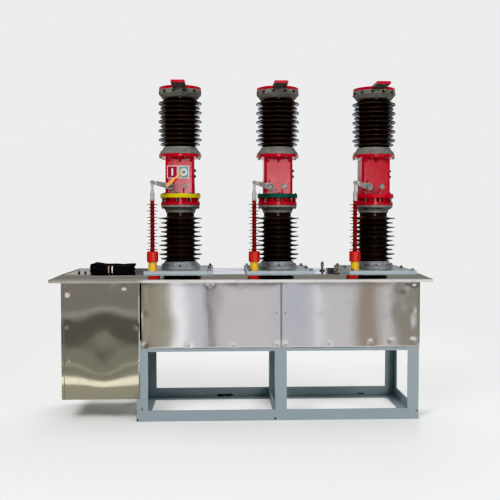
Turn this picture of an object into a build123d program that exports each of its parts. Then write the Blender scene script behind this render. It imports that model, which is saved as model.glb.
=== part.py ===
from build123d import *
import os
from math import atan2, cos, degrees, pi, radians, sin, tan

# Outdoor three pole circuit breaker with current transformers in a sheet steel housing on an angle steel stand.
# The front is -Y, +X is to the right seen from the front, and the floor is z = 0.
# The origin is on the floor, midway between the roof's edges.

# Stand of angle steel
stand_width = 1989.0
stand_height = 570.0
angle_leg = 80.0
angle_wall = 8.0
bottom_rail_height = 77.0
anchor_hole_d = 22.0
anchor_hole_inset = 45.0
anchor_hole_end = 70.0

# Housing of stainless sheet
roof_width = 2650.0
roof_depth = 880.0
roof_overhang_end = 70.0
roof_overhang_side = 72.0
roof_lip_z = 988.0
roof_lip_height = 12.0
roof_hip_width = 67.0
roof_hip_rise = 30.0
roof_sheet = 4.0
cover_sheet = 2.0
wall_sheet = 3.0
cover_gap = 8.0
cover_play = 1.0
cabinet_bottom_z = 160.0
cabinet_cover_lap = 26.0
tank_cover_overlap = 58.0
side_return_left = 18.0
side_return_right = 10.0
frame_leg = 40.0
frame_wall = 4.0

# Poles on the roof
phase_pitch = 720.0
middle_pole_x = 274.0
plate_width = 478.0
plate_margin = 13.0
plate_thick = 23.0
bottom_flange_height = 55.0
bottom_flange_d = 287.0
bottom_flange_rim = 18.0
bottom_collar_d = 237.0
bottom_collar_flare = 6.0
foot_rib_thick = 8.0
foot_rib_inset = 6.0
foot_rib_bottom = 4.0
foot_rib_top = 40.0
foot_rib_count = 8
lower_porcelain_length = 357.0
middle_flange_height = 56.0
middle_flange_d = 284.0
middle_flange_rim = 17.0
middle_collar_d = 215.0
middle_collar_height = 17.0
middle_collar_flare = 4.0
bell_lip = 14.0
bell_lip_height = 4.5
housing_height = 370.0
housing_base_thick = 19.0
housing_neck_height = 33.0
housing_neck_d = 232.0
housing_ledge_thick = 29.0
housing_ledge_d = 288.0
housing_width = 210.0
housing_depth = 204.0
housing_corner_r = 20.0
housing_top_thick = 21.0
housing_top_d = 314.0
housing_chin_height = 18.0
housing_chin_inset = 8.0
neck_rib_thick = 10.0
neck_rib_inset = 8.0
neck_rib_count = 8
gusset_thick = 12.0
gusset_reach = 38.0
gusset_height = 38.0
gusset_inset = 25.0
front_rib_x = 28.0
front_rib_thick = 10.0
front_rib_reach = 30.0
front_rib_height = 42.0
boss_rib_thick = 8.0
boss_rib_reach = 20.0
boss_rib_height = 22.0
boss_rib_sink = 2.0
ring_wall = 4.0
ring_fit = 0.3
upper_flange_height = 54.0
upper_flange_d = 304.0
upper_flange_rim = 11.0
upper_collar_d = 245.0
upper_collar_height = 13.5
upper_collar_flare = 6.0
upper_porcelain_length = 355.0
top_flange_height = 60.0
top_flange_within_sheds = 5.0
top_flange_rim = 30.0
top_flange_shoulder = 4.0
top_flange_shoulder_height = 3.0
top_collar_d = 258.0
pocket_width = 30.0
pocket_height = 18.0
pocket_depth = 7.0
pocket_edge = 8.0
pocket_count = 12
cap_plate_thick = 20.0
cap_plate_step = 1.0

# Porcelain sheds: large and small in turn, the highest one large
porcelain_d = 202.0
large_shed_d = 320.0
small_shed_d = 293.0
shed_pitch = 33.1
shed_edge = 8.0
shed_fall = 12.0
shed_under = 11.0
lower_first_shed = 43.0
upper_first_shed = 35.0
last_shed_clear = 17.0
glazed_neck_d = 252.0
glazed_neck_height = 14.0
glazed_foot_d = 210.0
glazed_foot_height = 6.0

# Terminals
tongue_width = 97.0
tongue_reach = 350.0
tongue_thick = 18.0
terminal_hole_d = 14.0
terminal_hole_pitch = 50.0
terminal_hole_edge = 25.0
lower_pad_z = 128.0
lower_pad_reach = 150.0
lower_pad_thick = 16.0
lower_stem_d = 60.0
lower_stem_length = 40.0

# Drive: a crank on each housing pulls a short insulating rod down through the roof
crank_x = -65.0
crank_z = 132.0
crank_shaft_d = 30.0
crank_boss_d = 62.0
crank_boss_length = 34.0
crank_shaft_in_boss = 30.0
crank_hub_d = 52.0
crank_hub_length = 30.0
crank_arm_radius = 122.0
crank_rest_deg = 10.5
crank_travel_deg = 24.0
crank_plate_thick = 10.0
lever_root_height = 44.0
lever_root_reach = 36.0
lever_bend_reach = 92.0
lever_tip_height = 26.0
crank_eye_d = 28.0
crank_pin_d = 14.0
pin_head_d = 22.0
pin_head_thick = 8.0
running_gap = 0.3
rod_y = -265.0
rod_eye_thick = 12.0
rod_eye_d = 32.0
rod_shank_width = 22.0
rod_fitting_drop = 34.0
rod_fitting_length = 95.0
rod_fitting_d = 30.0
rod_socket_length = 48.0
rod_neck_d = 17.0
rod_neck_length = 6.0
rod_neck_seat = 8.0
rod_core_d = 28.0
rod_insulator_length = 358.0
rod_large_shed_d = 86.0
rod_small_shed_d = 58.0
rod_shed_pitch = 22.65
rod_shed_edge = 2.6
rod_first_shed = 28.0
rod_last_clear = 12.0
rod_cap_d = 80.0
rod_cap_height = 74.0
rod_cap_top = 6.0
rod_cap_wall = 4.0
rod_cap_edge = 5.0
rod_shaft_d = 24.0
rod_shaft_below_roof = 60.0
guide_tube_d = 60.0
guide_tube_wall = 5.0
guide_bush_height = 14.0
guide_foot_d = 84.0
guide_foot_thick = 3.0
cap_clear = 6.0
pointer_length = 150.0
pointer_thick = 4.0
pointer_lean_deg = 47.5
pointer_offset = 19.0
pointer_tail = 14.0
pointer_wide = 21.0
pointer_wide_length = 66.0
pointer_narrow = 13.0
pointer_corner = 1.5

# Fittings on the roof
eye_foot_d = 40.0
eye_foot_height = 14.0
eye_stem_d = 20.0
eye_stem_height = 16.0
eye_ring_d = 56.0
eye_ring_bar_d = 12.0
eye_ring_sink = 6.0
eye_back_dx = -20.0
eye_back_y = 20.0
eye_front_dx = 40.0
gland_x = -1030.0
gland_y = -128.0
gland_foot_d = 46.0
gland_foot_thick = 4.0
gland_body_d = 34.0
gland_axis_height = 22.0
gland_nut_d = 27.0
gland_nut_length = 22.0
gland_dome_edge = 10.0
cable_d = 13.0
hank_length = 330.0
hank_depth = 120.0
hank_height = 78.0
hank_x = -899.0
hank_y = -250.0
hank_edge = 27.0

# Heights that follow from the sizes above
deck_z = roof_lip_z + roof_lip_height + roof_hip_rise
plate_top_z = deck_z + plate_thick
lower_porcelain_z = plate_top_z + bottom_flange_height
middle_flange_z = lower_porcelain_z + lower_porcelain_length
housing_z = middle_flange_z + middle_flange_height
upper_flange_z = housing_z + housing_height
upper_porcelain_z = upper_flange_z + upper_flange_height
top_flange_z = upper_porcelain_z + upper_porcelain_length
cap_plate_z = top_flange_z + top_flange_height
cap_top_z = cap_plate_z + cap_plate_thick

top_flange_d = large_shed_d - 2 * top_flange_within_sheds
cap_plate_d = top_flange_d - 2 * cap_plate_step
body_width = roof_width - 2 * roof_overhang_end
body_depth = roof_depth - 2 * roof_overhang_side
plate_depth = roof_depth - 2 * (roof_hip_width + plate_margin)
pole_x = {"a": middle_pole_x - phase_pitch, "b": middle_pole_x, "c": middle_pole_x + phase_pitch}
body_left = -body_width / 2
body_right = body_width / 2
cover_y = body_depth / 2
frame_y = cover_y - cover_sheet
under_roof_z = deck_z - roof_sheet
stand_depth = 2 * (frame_y - cover_play)
stand_right = body_right - wall_sheet - cover_play
stand_left = stand_right - stand_width
tank_bottom_z = stand_height - tank_cover_overlap
tank_split_x = middle_pole_x
cabinet_wall_x = stand_left - wall_sheet - cover_play
cabinet_cover_right_x = stand_left + cabinet_cover_lap

# The crank pin at rest, and how far the rod follows it
crank_zero = housing_z + crank_z
pin_dx = -crank_arm_radius * cos(radians(crank_rest_deg))
pin_z = crank_zero + crank_arm_radius * sin(radians(crank_rest_deg))
rod_travel = crank_arm_radius * (
    sin(radians(crank_rest_deg)) + sin(radians(crank_travel_deg - crank_rest_deg))
)
rod_dx = crank_x + pin_dx
pin_sweep_out = crank_arm_radius * (1 - cos(radians(crank_rest_deg)))
pin_sweep_in = crank_arm_radius * max(
    0, cos(radians(crank_rest_deg)) - cos(radians(crank_travel_deg - crank_rest_deg))
)
eye_bottom_z = pin_z - rod_fitting_drop
insulator_top_z = eye_bottom_z - rod_fitting_length
insulator_bottom_z = insulator_top_z - rod_insulator_length
cap_ceiling_z = insulator_bottom_z
cap_bottom_z = cap_ceiling_z - rod_cap_height
guide_top_z = cap_ceiling_z - rod_cap_top - rod_travel - cap_clear

made = {}


def slab(x0, x1, y0, y1, z0, z1):
    """Plain plate or bar between two corners."""
    return Pos((x0 + x1) / 2, (y0 + y1) / 2, (z0 + z1) / 2) * Box(x1 - x0, y1 - y0, z1 - z0)


def disc(x, y, z0, z1, diameter):
    """Upright cylinder from z0 to z1."""
    return Pos(x, y, (z0 + z1) / 2) * Cylinder(diameter / 2, z1 - z0)


def turned(points):
    """Solid turned about the upright axis from half a section given as (radius, z)."""
    return revolve(Plane.XZ * make_face(Polyline(*points, close=True)), Axis.Z)


def angle_bar(start, length_dir, length, leg_a, leg_b, size_a, size_b, wall):
    """Angle steel bar whose corner line runs from start along length_dir."""
    a = Vector(*leg_a)
    b = Vector(*leg_b)
    corners = [
        (0, 0),
        (size_a, 0),
        (size_a, wall),
        (wall, wall),
        (wall, size_b),
        (0, size_b),
    ]
    origin = Vector(*start)
    outline = Polyline(*[origin + a * u + b * v for u, v in corners], close=True)
    return extrude(make_face(outline), amount=length, dir=Vector(*length_dir))


def save(name, *solids):
    """One named piece, or like pieces that don't touch."""
    made[name] = Compound(label=name, children=list(solids)) if len(solids) > 1 else solids[0]


# Stand

def stand():
    front = -stand_depth / 2
    back = stand_depth / 2
    middle_left = tank_split_x - angle_leg / 2
    leg_height = stand_height - angle_leg - bottom_rail_height
    legs = []
    for y, inward in ((front, 1), (back, -1)):
        for x, across in ((stand_left, 1), (middle_left, 1), (stand_right, -1)):
            legs.append(
                angle_bar(
                    (x, y, bottom_rail_height),
                    (0, 0, 1),
                    leg_height,
                    (across, 0, 0),
                    (0, inward, 0),
                    angle_leg,
                    angle_leg,
                    angle_wall,
                )
            )
    save("stand_legs", *legs)

    bottom = []
    top = []
    for y, inward in ((front, 1), (back, -1)):
        rail = angle_bar(
            (stand_left, y, 0),
            (1, 0, 0),
            stand_width,
            (0, inward, 0),
            (0, 0, 1),
            angle_leg,
            bottom_rail_height,
            angle_wall,
        )
        for x in (stand_left + anchor_hole_end, stand_right - anchor_hole_end):
            rail -= disc(x, y + inward * anchor_hole_inset, -1, angle_wall + 1, anchor_hole_d)
        bottom.append(rail)
        top.append(
            angle_bar(
                (stand_left, y, stand_height),
                (1, 0, 0),
                stand_width,
                (0, inward, 0),
                (0, 0, -1),
                angle_leg,
                angle_leg,
                angle_wall,
            )
        )
    save("stand_bottom_rails", *bottom)
    save("stand_top_rails", *top)

    low = []
    high = []
    for x, across in ((stand_left, 1), (middle_left, 1), (stand_right, -1)):
        low.append(cross_rail(x, across, 0, 1, bottom_rail_height))
        high.append(cross_rail(x, across, stand_height, -1, angle_leg))
    save("stand_bottom_cross_rails", *low)
    save("stand_top_cross_rails", *high)


def cross_rail(x, across, z, upward, height):
    """Angle bar between the long rails: the flat leg ends at their flat legs, the upright leg at theirs."""
    inner = stand_depth - 2 * angle_leg
    between = stand_depth - 2 * angle_wall
    flat = slab(
        min(x, x + across * angle_leg),
        max(x, x + across * angle_leg),
        -inner / 2,
        inner / 2,
        min(z, z + upward * angle_wall),
        max(z, z + upward * angle_wall),
    )
    upright = slab(
        min(x, x + across * angle_wall),
        max(x, x + across * angle_wall),
        -between / 2,
        between / 2,
        min(z + upward * angle_wall, z + upward * height),
        max(z + upward * angle_wall, z + upward * height),
    )
    return flat + upright


# Sheet housing

def housing_frame():
    """Corner posts of the cabinet and tank, and the square of bearers that the roof rests on."""
    top = under_roof_z - frame_leg
    posts = []
    cabinet_floor = cabinet_bottom_z + wall_sheet
    tank_floor = stand_height + wall_sheet
    left = body_left + wall_sheet
    right = body_right - wall_sheet
    places = (
        (left, 1, cabinet_floor),
        (cabinet_wall_x, -1, cabinet_floor),
        (tank_split_x - frame_leg, 1, tank_floor),
        (tank_split_x + frame_leg, -1, tank_floor),
        (right, -1, tank_floor),
    )
    for x, across, foot in places:
        for y, inward in ((-frame_y, 1), (frame_y, -1)):
            posts.append(
                angle_bar(
                    (x, y, foot),
                    (0, 0, 1),
                    top - foot,
                    (across, 0, 0),
                    (0, inward, 0),
                    frame_leg - cover_play,
                    frame_leg,
                    frame_wall,
                )
            )
    save("frame_posts", *posts)

    ring = slab(left, right, -frame_y, frame_y, top, under_roof_z)
    ring -= slab(left + frame_leg, right - frame_leg, frame_leg - frame_y, frame_y - frame_leg, top, under_roof_z)
    for x in (cabinet_wall_x, tank_split_x):
        ring += slab(x - frame_leg / 2, x + frame_leg / 2, -frame_y, frame_y, top, under_roof_z)
    save("roof_frame", ring)


def floor_plates():
    left = body_left + wall_sheet
    right = body_right - wall_sheet
    tank = slab(cabinet_wall_x + wall_sheet + cover_play, right, -frame_y, frame_y, stand_height,
                stand_height + wall_sheet)
    cabinet = slab(left, cabinet_wall_x, -frame_y, frame_y, cabinet_bottom_z, cabinet_bottom_z + wall_sheet)
    save("floor_plates", cabinet, tank)
    wall = slab(cabinet_wall_x, cabinet_wall_x + wall_sheet, -frame_y, frame_y, cabinet_bottom_z,
                stand_height + wall_sheet)
    save("cabinet_inner_wall", wall)


def cover(x0, x1, z0, side):
    """Flat cover hung on the front (side -1) or the back (side 1)."""
    return slab(x0, x1, min(side * frame_y, side * cover_y), max(side * frame_y, side * cover_y), z0, under_roof_z)


def covers():
    cabinet_left = body_left + side_return_left
    tank_right = body_right - side_return_right
    tank_left = cabinet_cover_right_x + cover_gap
    split = cover_gap / 2
    save("cabinet_front_cover", cover(cabinet_left, cabinet_cover_right_x, cabinet_bottom_z, -1))
    save(
        "tank_front_covers",
        cover(tank_left, tank_split_x - split, tank_bottom_z, -1),
        cover(tank_split_x + split, tank_right, tank_bottom_z, -1),
    )
    save(
        "back_covers",
        cover(cabinet_left, cabinet_cover_right_x, cabinet_bottom_z, 1),
        cover(tank_left, tank_split_x - split, tank_bottom_z, 1),
        cover(tank_split_x + split, tank_right, tank_bottom_z, 1),
    )
    save(
        "side_covers",
        side_cover(body_left, 1, cabinet_bottom_z, side_return_left - cover_play),
        side_cover(body_right, -1, tank_bottom_z, side_return_right - cover_play),
    )


def side_cover(x, across, z0, edge):
    """End sheet folded round the two corners, its folded edges in line with the front and back covers."""
    inner_x = x + across * wall_sheet
    edge_x = x + across * edge
    sheet = slab(min(x, inner_x), max(x, inner_x), -cover_y, cover_y, z0, under_roof_z)
    for side in (-1, 1):
        sheet += slab(
            min(x, edge_x),
            max(x, edge_x),
            min(side * frame_y, side * cover_y),
            max(side * frame_y, side * cover_y),
            z0,
            under_roof_z,
        )
    return sheet


def roof():
    """Folded roof: a flat deck, four hipped skirts and an upright lip."""
    lip_top = roof_lip_z + roof_lip_height
    outer = roof_shell(roof_width, roof_depth, roof_hip_width, deck_z, lip_top, roof_lip_z)
    inner = roof_shell(
        roof_width - 2 * roof_sheet,
        roof_depth - 2 * roof_sheet,
        roof_hip_width - roof_sheet,
        deck_z - roof_sheet,
        lip_top - roof_sheet,
        roof_lip_z - 1,
    )
    pan = outer - inner
    for x in pole_x.values():
        pan -= disc(x + rod_dx, rod_y, deck_z - roof_sheet - 1, deck_z + 1, guide_tube_d - 2 * guide_tube_wall)
    save("roof", pan)


def roof_shell(width, depth, hip, top, lip_top, lip_bottom):
    """Closed form of the roof, from the lip's lower edge to the deck."""
    lip = Pos(0, 0, (lip_top + lip_bottom) / 2) * Box(width, depth, lip_top - lip_bottom)
    low = Plane.XY.offset(lip_top) * Rectangle(width, depth)
    high = Plane.XY.offset(top) * Rectangle(width - 2 * hip, depth - 2 * hip)
    return lip + loft([low, high])


def deck_fittings():
    plates = []
    tubes = []
    bore = guide_tube_d - 2 * guide_tube_wall
    for x in pole_x.values():
        half = plate_width / 2
        plate = slab(x - half, x + half, -plate_depth / 2, plate_depth / 2, deck_z, plate_top_z)
        plate -= disc(x + rod_dx, rod_y, deck_z - 1, plate_top_z + 1, bore)
        plates.append(plate)
        section = [
            (bore / 2, plate_top_z),
            (guide_foot_d / 2, plate_top_z),
            (guide_foot_d / 2, plate_top_z + guide_foot_thick),
            (guide_tube_d / 2, plate_top_z + guide_foot_thick),
            (guide_tube_d / 2, guide_top_z),
            (rod_shaft_d / 2 + running_gap, guide_top_z),
            (rod_shaft_d / 2 + running_gap, guide_top_z - guide_bush_height),
            (bore / 2, guide_top_z - guide_bush_height),
        ]
        tubes.append(Pos(x + rod_dx, rod_y, 0) * turned(section))
    save("pole_base_plates", *plates)
    save("guide_tubes", *tubes)

    eyes = []
    between = (pole_x["b"] + pole_x["c"]) / 2
    reach = plate_depth / 2 - eye_ring_d
    stem_top = deck_z + eye_foot_height + eye_stem_height
    for dx, y in ((eye_back_dx, eye_back_y), (eye_front_dx, -reach)):
        x = between + dx
        stem = disc(x, y, deck_z, deck_z + eye_foot_height, eye_foot_d)
        stem += disc(x, y, deck_z + eye_foot_height, stem_top, eye_stem_d)
        ring = Torus((eye_ring_d - eye_ring_bar_d) / 2, eye_ring_bar_d / 2)
        ring = Pos(x, y, stem_top - eye_ring_sink + eye_ring_d / 2) * Rot(90, 0, 0) * ring
        eyes.append(stem + ring)
    save("lifting_eyes", *eyes)


# Poles

def porcelain(x, z0, length, first_shed, neck_d, neck_height):
    """Hollow insulator's outside: a body with large and small sheds that thin out towards their edges."""
    body_r = porcelain_d / 2
    top = z0 + length
    places = []
    z = top - first_shed
    large = True
    while z > z0 + last_shed_clear - 1 or not large:
        places.append((z, large_shed_d / 2 if large else small_shed_d / 2))
        large = not large
        z -= shed_pitch
    half = [(0, z0), (body_r, z0)]
    for z, r in reversed(places):
        half.append((body_r, z - shed_edge / 2 - shed_under))
        half.append((r, z - shed_edge / 2))
        half.append((r, z + shed_edge / 2))
        half.append((body_r, z + shed_edge / 2 + shed_fall))
    half += [
        (body_r, top - neck_height),
        (neck_d / 2, top - neck_height),
        (neck_d / 2, top),
        (0, top),
    ]
    return Pos(x, 0, 0) * turned(half)


def bottom_flange(x):
    """Cast foot of the lower porcelain: a base with lugs and a collar with ribs."""
    z = plate_top_z
    base = turned([
        (0, z),
        (bottom_flange_d / 2, z),
        (bottom_flange_d / 2, z + bottom_flange_rim),
        (bottom_collar_d / 2 + bottom_collar_flare, z + bottom_flange_rim + bottom_collar_flare),
        (bottom_collar_d / 2, z + bottom_flange_height),
        (0, z + bottom_flange_height),
    ])
    rib = slab(
        0,
        bottom_flange_d / 2 - foot_rib_inset,
        -foot_rib_thick / 2,
        foot_rib_thick / 2,
        z + foot_rib_bottom,
        z + foot_rib_top,
    )
    ribs = PolarLocations(0, foot_rib_count, start_angle=180 / foot_rib_count) * rib
    return Pos(x, 0, 0) * (base + ribs)


def middle_flange(x):
    """Bell shaped cast flange on top of the lower porcelain."""
    z = middle_flange_z
    top = z + middle_flange_height
    rim_z = top - middle_flange_rim
    return Pos(x, 0, 0) * turned([
        (0, z),
        (middle_collar_d / 2, z),
        (middle_collar_d / 2 + middle_collar_flare, z + middle_collar_height),
        (middle_flange_d / 2 - bell_lip, rim_z - bell_lip_height),
        (middle_flange_d / 2, rim_z),
        (middle_flange_d / 2, top),
        (0, top),
    ])


def front_rib(x, thick, reach, wide_z, point_z):
    """Three-cornered rib on the housing's front: it stands out at wide_z and runs out at point_z."""
    face_y = -housing_depth / 2
    side = Plane.YZ.offset(x - thick / 2) * make_face(Polyline(
        (face_y + 1, wide_z),
        (face_y - reach, wide_z),
        (face_y, point_z),
        (face_y + 1, point_z),
        close=True,
    ))
    return extrude(side, amount=thick)


def interrupter_housing(x):
    """Cast housing: round base, ribbed neck, ledge for the phase ring, square body and bolted top flange."""
    z = housing_z
    neck_z = z + housing_base_thick
    ledge_z = neck_z + housing_neck_height
    body_z = ledge_z + housing_ledge_thick
    flange_z = z + housing_height - housing_top_thick
    base = turned([
        (0, z),
        (housing_ledge_d / 2, z),
        (housing_ledge_d / 2, neck_z),
        (housing_neck_d / 2, neck_z),
        (housing_neck_d / 2, ledge_z),
        (housing_ledge_d / 2, ledge_z),
        (housing_ledge_d / 2, body_z),
        (0, body_z),
    ])
    rib = slab(
        0,
        housing_ledge_d / 2 - neck_rib_inset,
        -neck_rib_thick / 2,
        neck_rib_thick / 2,
        neck_z - 1,
        ledge_z + 1,
    )
    base += PolarLocations(0, neck_rib_count, start_angle=180 / neck_rib_count) * rib
    outline = RectangleRounded(housing_width, housing_depth, housing_corner_r)
    base += extrude(Plane.XY.offset(body_z) * outline, amount=flange_z - body_z)
    base += turned([
        (0, flange_z - housing_chin_height),
        (housing_depth / 2, flange_z - housing_chin_height),
        (housing_top_d / 2 - housing_chin_inset, flange_z),
        (housing_top_d / 2, flange_z),
        (housing_top_d / 2, z + housing_height),
        (0, z + housing_height),
    ])
    boss_y = -housing_depth / 2
    boss = Plane.XZ.offset(-boss_y) * Pos(crank_x, z + crank_z) * Circle(crank_boss_d / 2)
    base += extrude(boss, amount=crank_boss_length)
    side_dx = housing_width / 2 - gusset_inset
    for dx in (-side_dx, 0, side_dx):
        gusset = front_rib(dx, gusset_thick, gusset_reach, flange_z, flange_z - gusset_height)
        base += gusset + Rot(0, 0, 180) * gusset
    base += front_rib(front_rib_x, front_rib_thick, front_rib_reach, body_z, body_z + front_rib_height)
    boss_top = z + crank_z + crank_boss_d / 2 - boss_rib_sink
    base += front_rib(crank_x, boss_rib_thick, boss_rib_reach, boss_top, boss_top + boss_rib_height)
    bore = Plane.XZ.offset(-boss_y) * Pos(crank_x, z + crank_z) * Circle(crank_shaft_d / 2 + running_gap)
    base -= extrude(bore, amount=crank_boss_length + 1)
    return Pos(x, 0, 0) * base


def phase_ring(x):
    """Coloured band round the housing's ledge."""
    z = housing_z + housing_base_thick + housing_neck_height
    r = housing_ledge_d / 2 + ring_fit
    return Pos(x, 0, 0) * turned([
        (r, z),
        (r + ring_wall, z),
        (r + ring_wall, z + housing_ledge_thick),
        (r, z + housing_ledge_thick),
    ])


def upper_flange(x):
    """Conical cast flange under the upper porcelain."""
    z = upper_flange_z
    top = z + upper_flange_height
    return Pos(x, 0, 0) * turned([
        (0, z),
        (upper_flange_d / 2, z),
        (upper_flange_d / 2, z + upper_flange_rim),
        (upper_collar_d / 2 + upper_collar_flare, top - upper_collar_height),
        (upper_collar_d / 2, top),
        (0, top),
    ])


def top_flange(x):
    """Cast flange that closes the upper porcelain, wider at its top with a row of bolt pockets."""
    z = top_flange_z
    top = z + top_flange_height
    rim_z = top - top_flange_rim
    body = turned([
        (0, z),
        (top_collar_d / 2, z),
        (top_flange_d / 2 - top_flange_shoulder, rim_z - top_flange_shoulder_height),
        (top_flange_d / 2, rim_z),
        (top_flange_d / 2, top),
        (0, top),
    ])
    pocket_top = top - pocket_edge
    pocket = slab(
        top_flange_d / 2 - pocket_depth,
        top_flange_d / 2 + pocket_depth,
        -pocket_width / 2,
        pocket_width / 2,
        pocket_top - pocket_height,
        pocket_top,
    )
    pockets = PolarLocations(0, pocket_count, start_angle=180 / pocket_count) * pocket
    return Pos(x, 0, 0) * (body - pockets)


def top_terminal(x):
    """Cap plate with the flat tongue that a line conductor bolts to."""
    plate = disc(0, 0, cap_plate_z, cap_top_z, cap_plate_d)
    tongue = slab(
        -tongue_width / 2,
        tongue_width / 2,
        -tongue_reach,
        0,
        cap_top_z - tongue_thick,
        cap_top_z,
    )
    body = plate + tongue
    centre = -tongue_reach + terminal_hole_edge + terminal_hole_pitch / 2
    half = terminal_hole_pitch / 2
    for dx in (-half, half):
        for dy in (-half, half):
            body -= disc(dx, centre + dy, cap_plate_z - 1, cap_top_z + 1, terminal_hole_d)
    return Pos(x, 0, 0) * body


def lower_terminal(x):
    """Flat pad on a round stem at the back of the housing."""
    z = housing_z + lower_pad_z
    back = housing_depth / 2
    stem = extrude(Plane.XZ.offset(-back) * Pos(0, z) * Circle(lower_stem_d / 2), amount=-lower_stem_length)
    pad = slab(
        -tongue_width / 2,
        tongue_width / 2,
        back + lower_stem_length - lower_pad_thick / 2,
        back + lower_pad_reach,
        z - lower_pad_thick / 2,
        z + lower_pad_thick / 2,
    )
    body = stem + pad
    centre = back + lower_pad_reach - terminal_hole_edge - terminal_hole_pitch / 2
    half = terminal_hole_pitch / 2
    for dx in (-half, half):
        for dy in (-half, half):
            body -= disc(dx, centre + dy, z - lower_pad_thick, z + lower_pad_thick, terminal_hole_d)
    return Pos(x, 0, 0) * body


def poles():
    xs = list(pole_x.values())
    save("bottom_flanges", *[bottom_flange(x) for x in xs])
    save(
        "lower_porcelains",
        *[
            porcelain(x, lower_porcelain_z, lower_porcelain_length, lower_first_shed, glazed_foot_d,
                      glazed_foot_height)
            for x in xs
        ],
    )
    save("middle_flanges", *[middle_flange(x) for x in xs])
    for name, x in pole_x.items():
        save("housing_" + name, interrupter_housing(x))
    for colour, x in zip(("yellow", "green", "red"), xs):
        save("phase_ring_" + colour, phase_ring(x))
    save("upper_flanges", *[upper_flange(x) for x in xs])
    save(
        "upper_porcelains",
        *[
            porcelain(x, upper_porcelain_z, upper_porcelain_length, upper_first_shed, glazed_neck_d,
                      glazed_neck_height)
            for x in xs
        ],
    )
    save("top_flanges", *[top_flange(x) for x in xs])
    save("top_terminals", *[top_terminal(x) for x in xs])
    save("lower_terminals", *[lower_terminal(x) for x in xs])


# Drive

def along_y(x, z, y0, y1, diameter):
    """Level cylinder from y0 back to y1."""
    return extrude(Plane.XZ.offset(-y1) * Pos(x, z) * Circle(diameter / 2), amount=y1 - y0)


def lever():
    """Dog-leg lever, level along -X from the middle of its hub: where its plan and its side view cross."""
    hub_y = -housing_depth / 2 - crank_boss_length - running_gap - crank_hub_length / 2
    tip_y = rod_y + rod_eye_thick / 2 + running_gap + crank_plate_thick / 2
    bends = (
        (0, hub_y),
        (-lever_root_reach, hub_y),
        (-lever_bend_reach, tip_y),
        (-crank_arm_radius, tip_y),
    )
    plan = Sketch()
    for start, end in zip(bends, bends[1:]):
        run = Vector(*end) - Vector(*start)
        middle = Vector(*start) + run / 2
        turn = degrees(atan2(run.Y, run.X))
        plan += Pos(middle.X, middle.Y) * Rot(0, 0, turn) * SlotCenterToCenter(run.length, crank_plate_thick)
    side = make_face(Polyline(
        (0, -lever_root_height / 2),
        (-crank_arm_radius, -lever_tip_height / 2),
        (-crank_arm_radius, lever_tip_height / 2),
        (0, lever_root_height / 2),
        close=True,
    ))
    side += Pos(-crank_arm_radius, 0) * Circle(crank_eye_d / 2)
    bar = extrude(plan, amount=crank_hub_d / 2, both=True)
    return bar & extrude(Plane.XZ * side, amount=-2 * rod_y, both=True)


def crank(x):
    """Shaft, hub and lever with the pin that the rod hangs on."""
    face_y = -housing_depth / 2 - crank_boss_length
    hub_back = face_y - running_gap
    hub_x = x + crank_x
    pin_x = hub_x + pin_dx
    body = along_y(hub_x, crank_zero, hub_back - crank_hub_length, hub_back, crank_hub_d)
    body += along_y(hub_x, crank_zero, hub_back - 1, face_y + crank_shaft_in_boss, crank_shaft_d)
    body += Pos(hub_x, 0, crank_zero) * Rot(0, crank_rest_deg, 0) * lever()
    head_back = rod_y - rod_eye_thick / 2 - running_gap
    lever_y = rod_y + rod_eye_thick / 2 + running_gap + crank_plate_thick / 2
    body += along_y(pin_x, pin_z, head_back - pin_head_thick / 2, lever_y, crank_pin_d)
    body += along_y(pin_x, pin_z, head_back - pin_head_thick, head_back, pin_head_d)
    return body


def rod_fitting(x):
    """Flat slotted eye, tapered socket, and the shaft below is part of the cap."""
    cx = x + rod_dx
    eye = along_y(cx, pin_z, rod_y - rod_eye_thick / 2, rod_y + rod_eye_thick / 2, rod_eye_d)
    eye += slab(
        cx - rod_shank_width / 2,
        cx + rod_shank_width / 2,
        rod_y - rod_eye_thick / 2,
        rod_y + rod_eye_thick / 2,
        eye_bottom_z,
        pin_z,
    )
    bore = crank_pin_d + 2 * running_gap
    middle = cx + (pin_sweep_in - pin_sweep_out) / 2
    slot = Pos(middle, pin_z) * SlotCenterToCenter(pin_sweep_in + pin_sweep_out, bore)
    eye -= extrude(Plane.XZ.offset(-rod_y) * slot, amount=rod_eye_thick, both=True)
    socket = turned([
        (0, insulator_top_z),
        (rod_fitting_d / 2, insulator_top_z),
        (rod_fitting_d / 2, insulator_top_z + rod_socket_length),
        (rod_neck_d / 2, eye_bottom_z - rod_neck_length),
        (rod_neck_d / 2, eye_bottom_z + rod_neck_seat),
        (0, eye_bottom_z + rod_neck_seat),
    ])
    return eye + Pos(cx, rod_y, 0) * socket


def rod_insulator(x):
    """Silicone rod insulator with large and small sheds in turn."""
    core = rod_core_d / 2
    places = []
    z = insulator_top_z - rod_first_shed
    large = True
    while z > insulator_bottom_z + rod_last_clear:
        places.append((z, rod_large_shed_d / 2 if large else rod_small_shed_d / 2))
        large = not large
        z -= rod_shed_pitch
    half = [(0, insulator_bottom_z), (core, insulator_bottom_z)]
    for z, r in reversed(places):
        half.append((core, z - rod_shed_edge))
        half.append((r, z - rod_shed_edge / 2))
        half.append((r, z + rod_shed_edge / 2))
        half.append((core, z + 2 * rod_shed_edge))
    half += [(core, insulator_top_z), (0, insulator_top_z)]
    return Pos(x + rod_dx, rod_y, 0) * turned(half)


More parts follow.
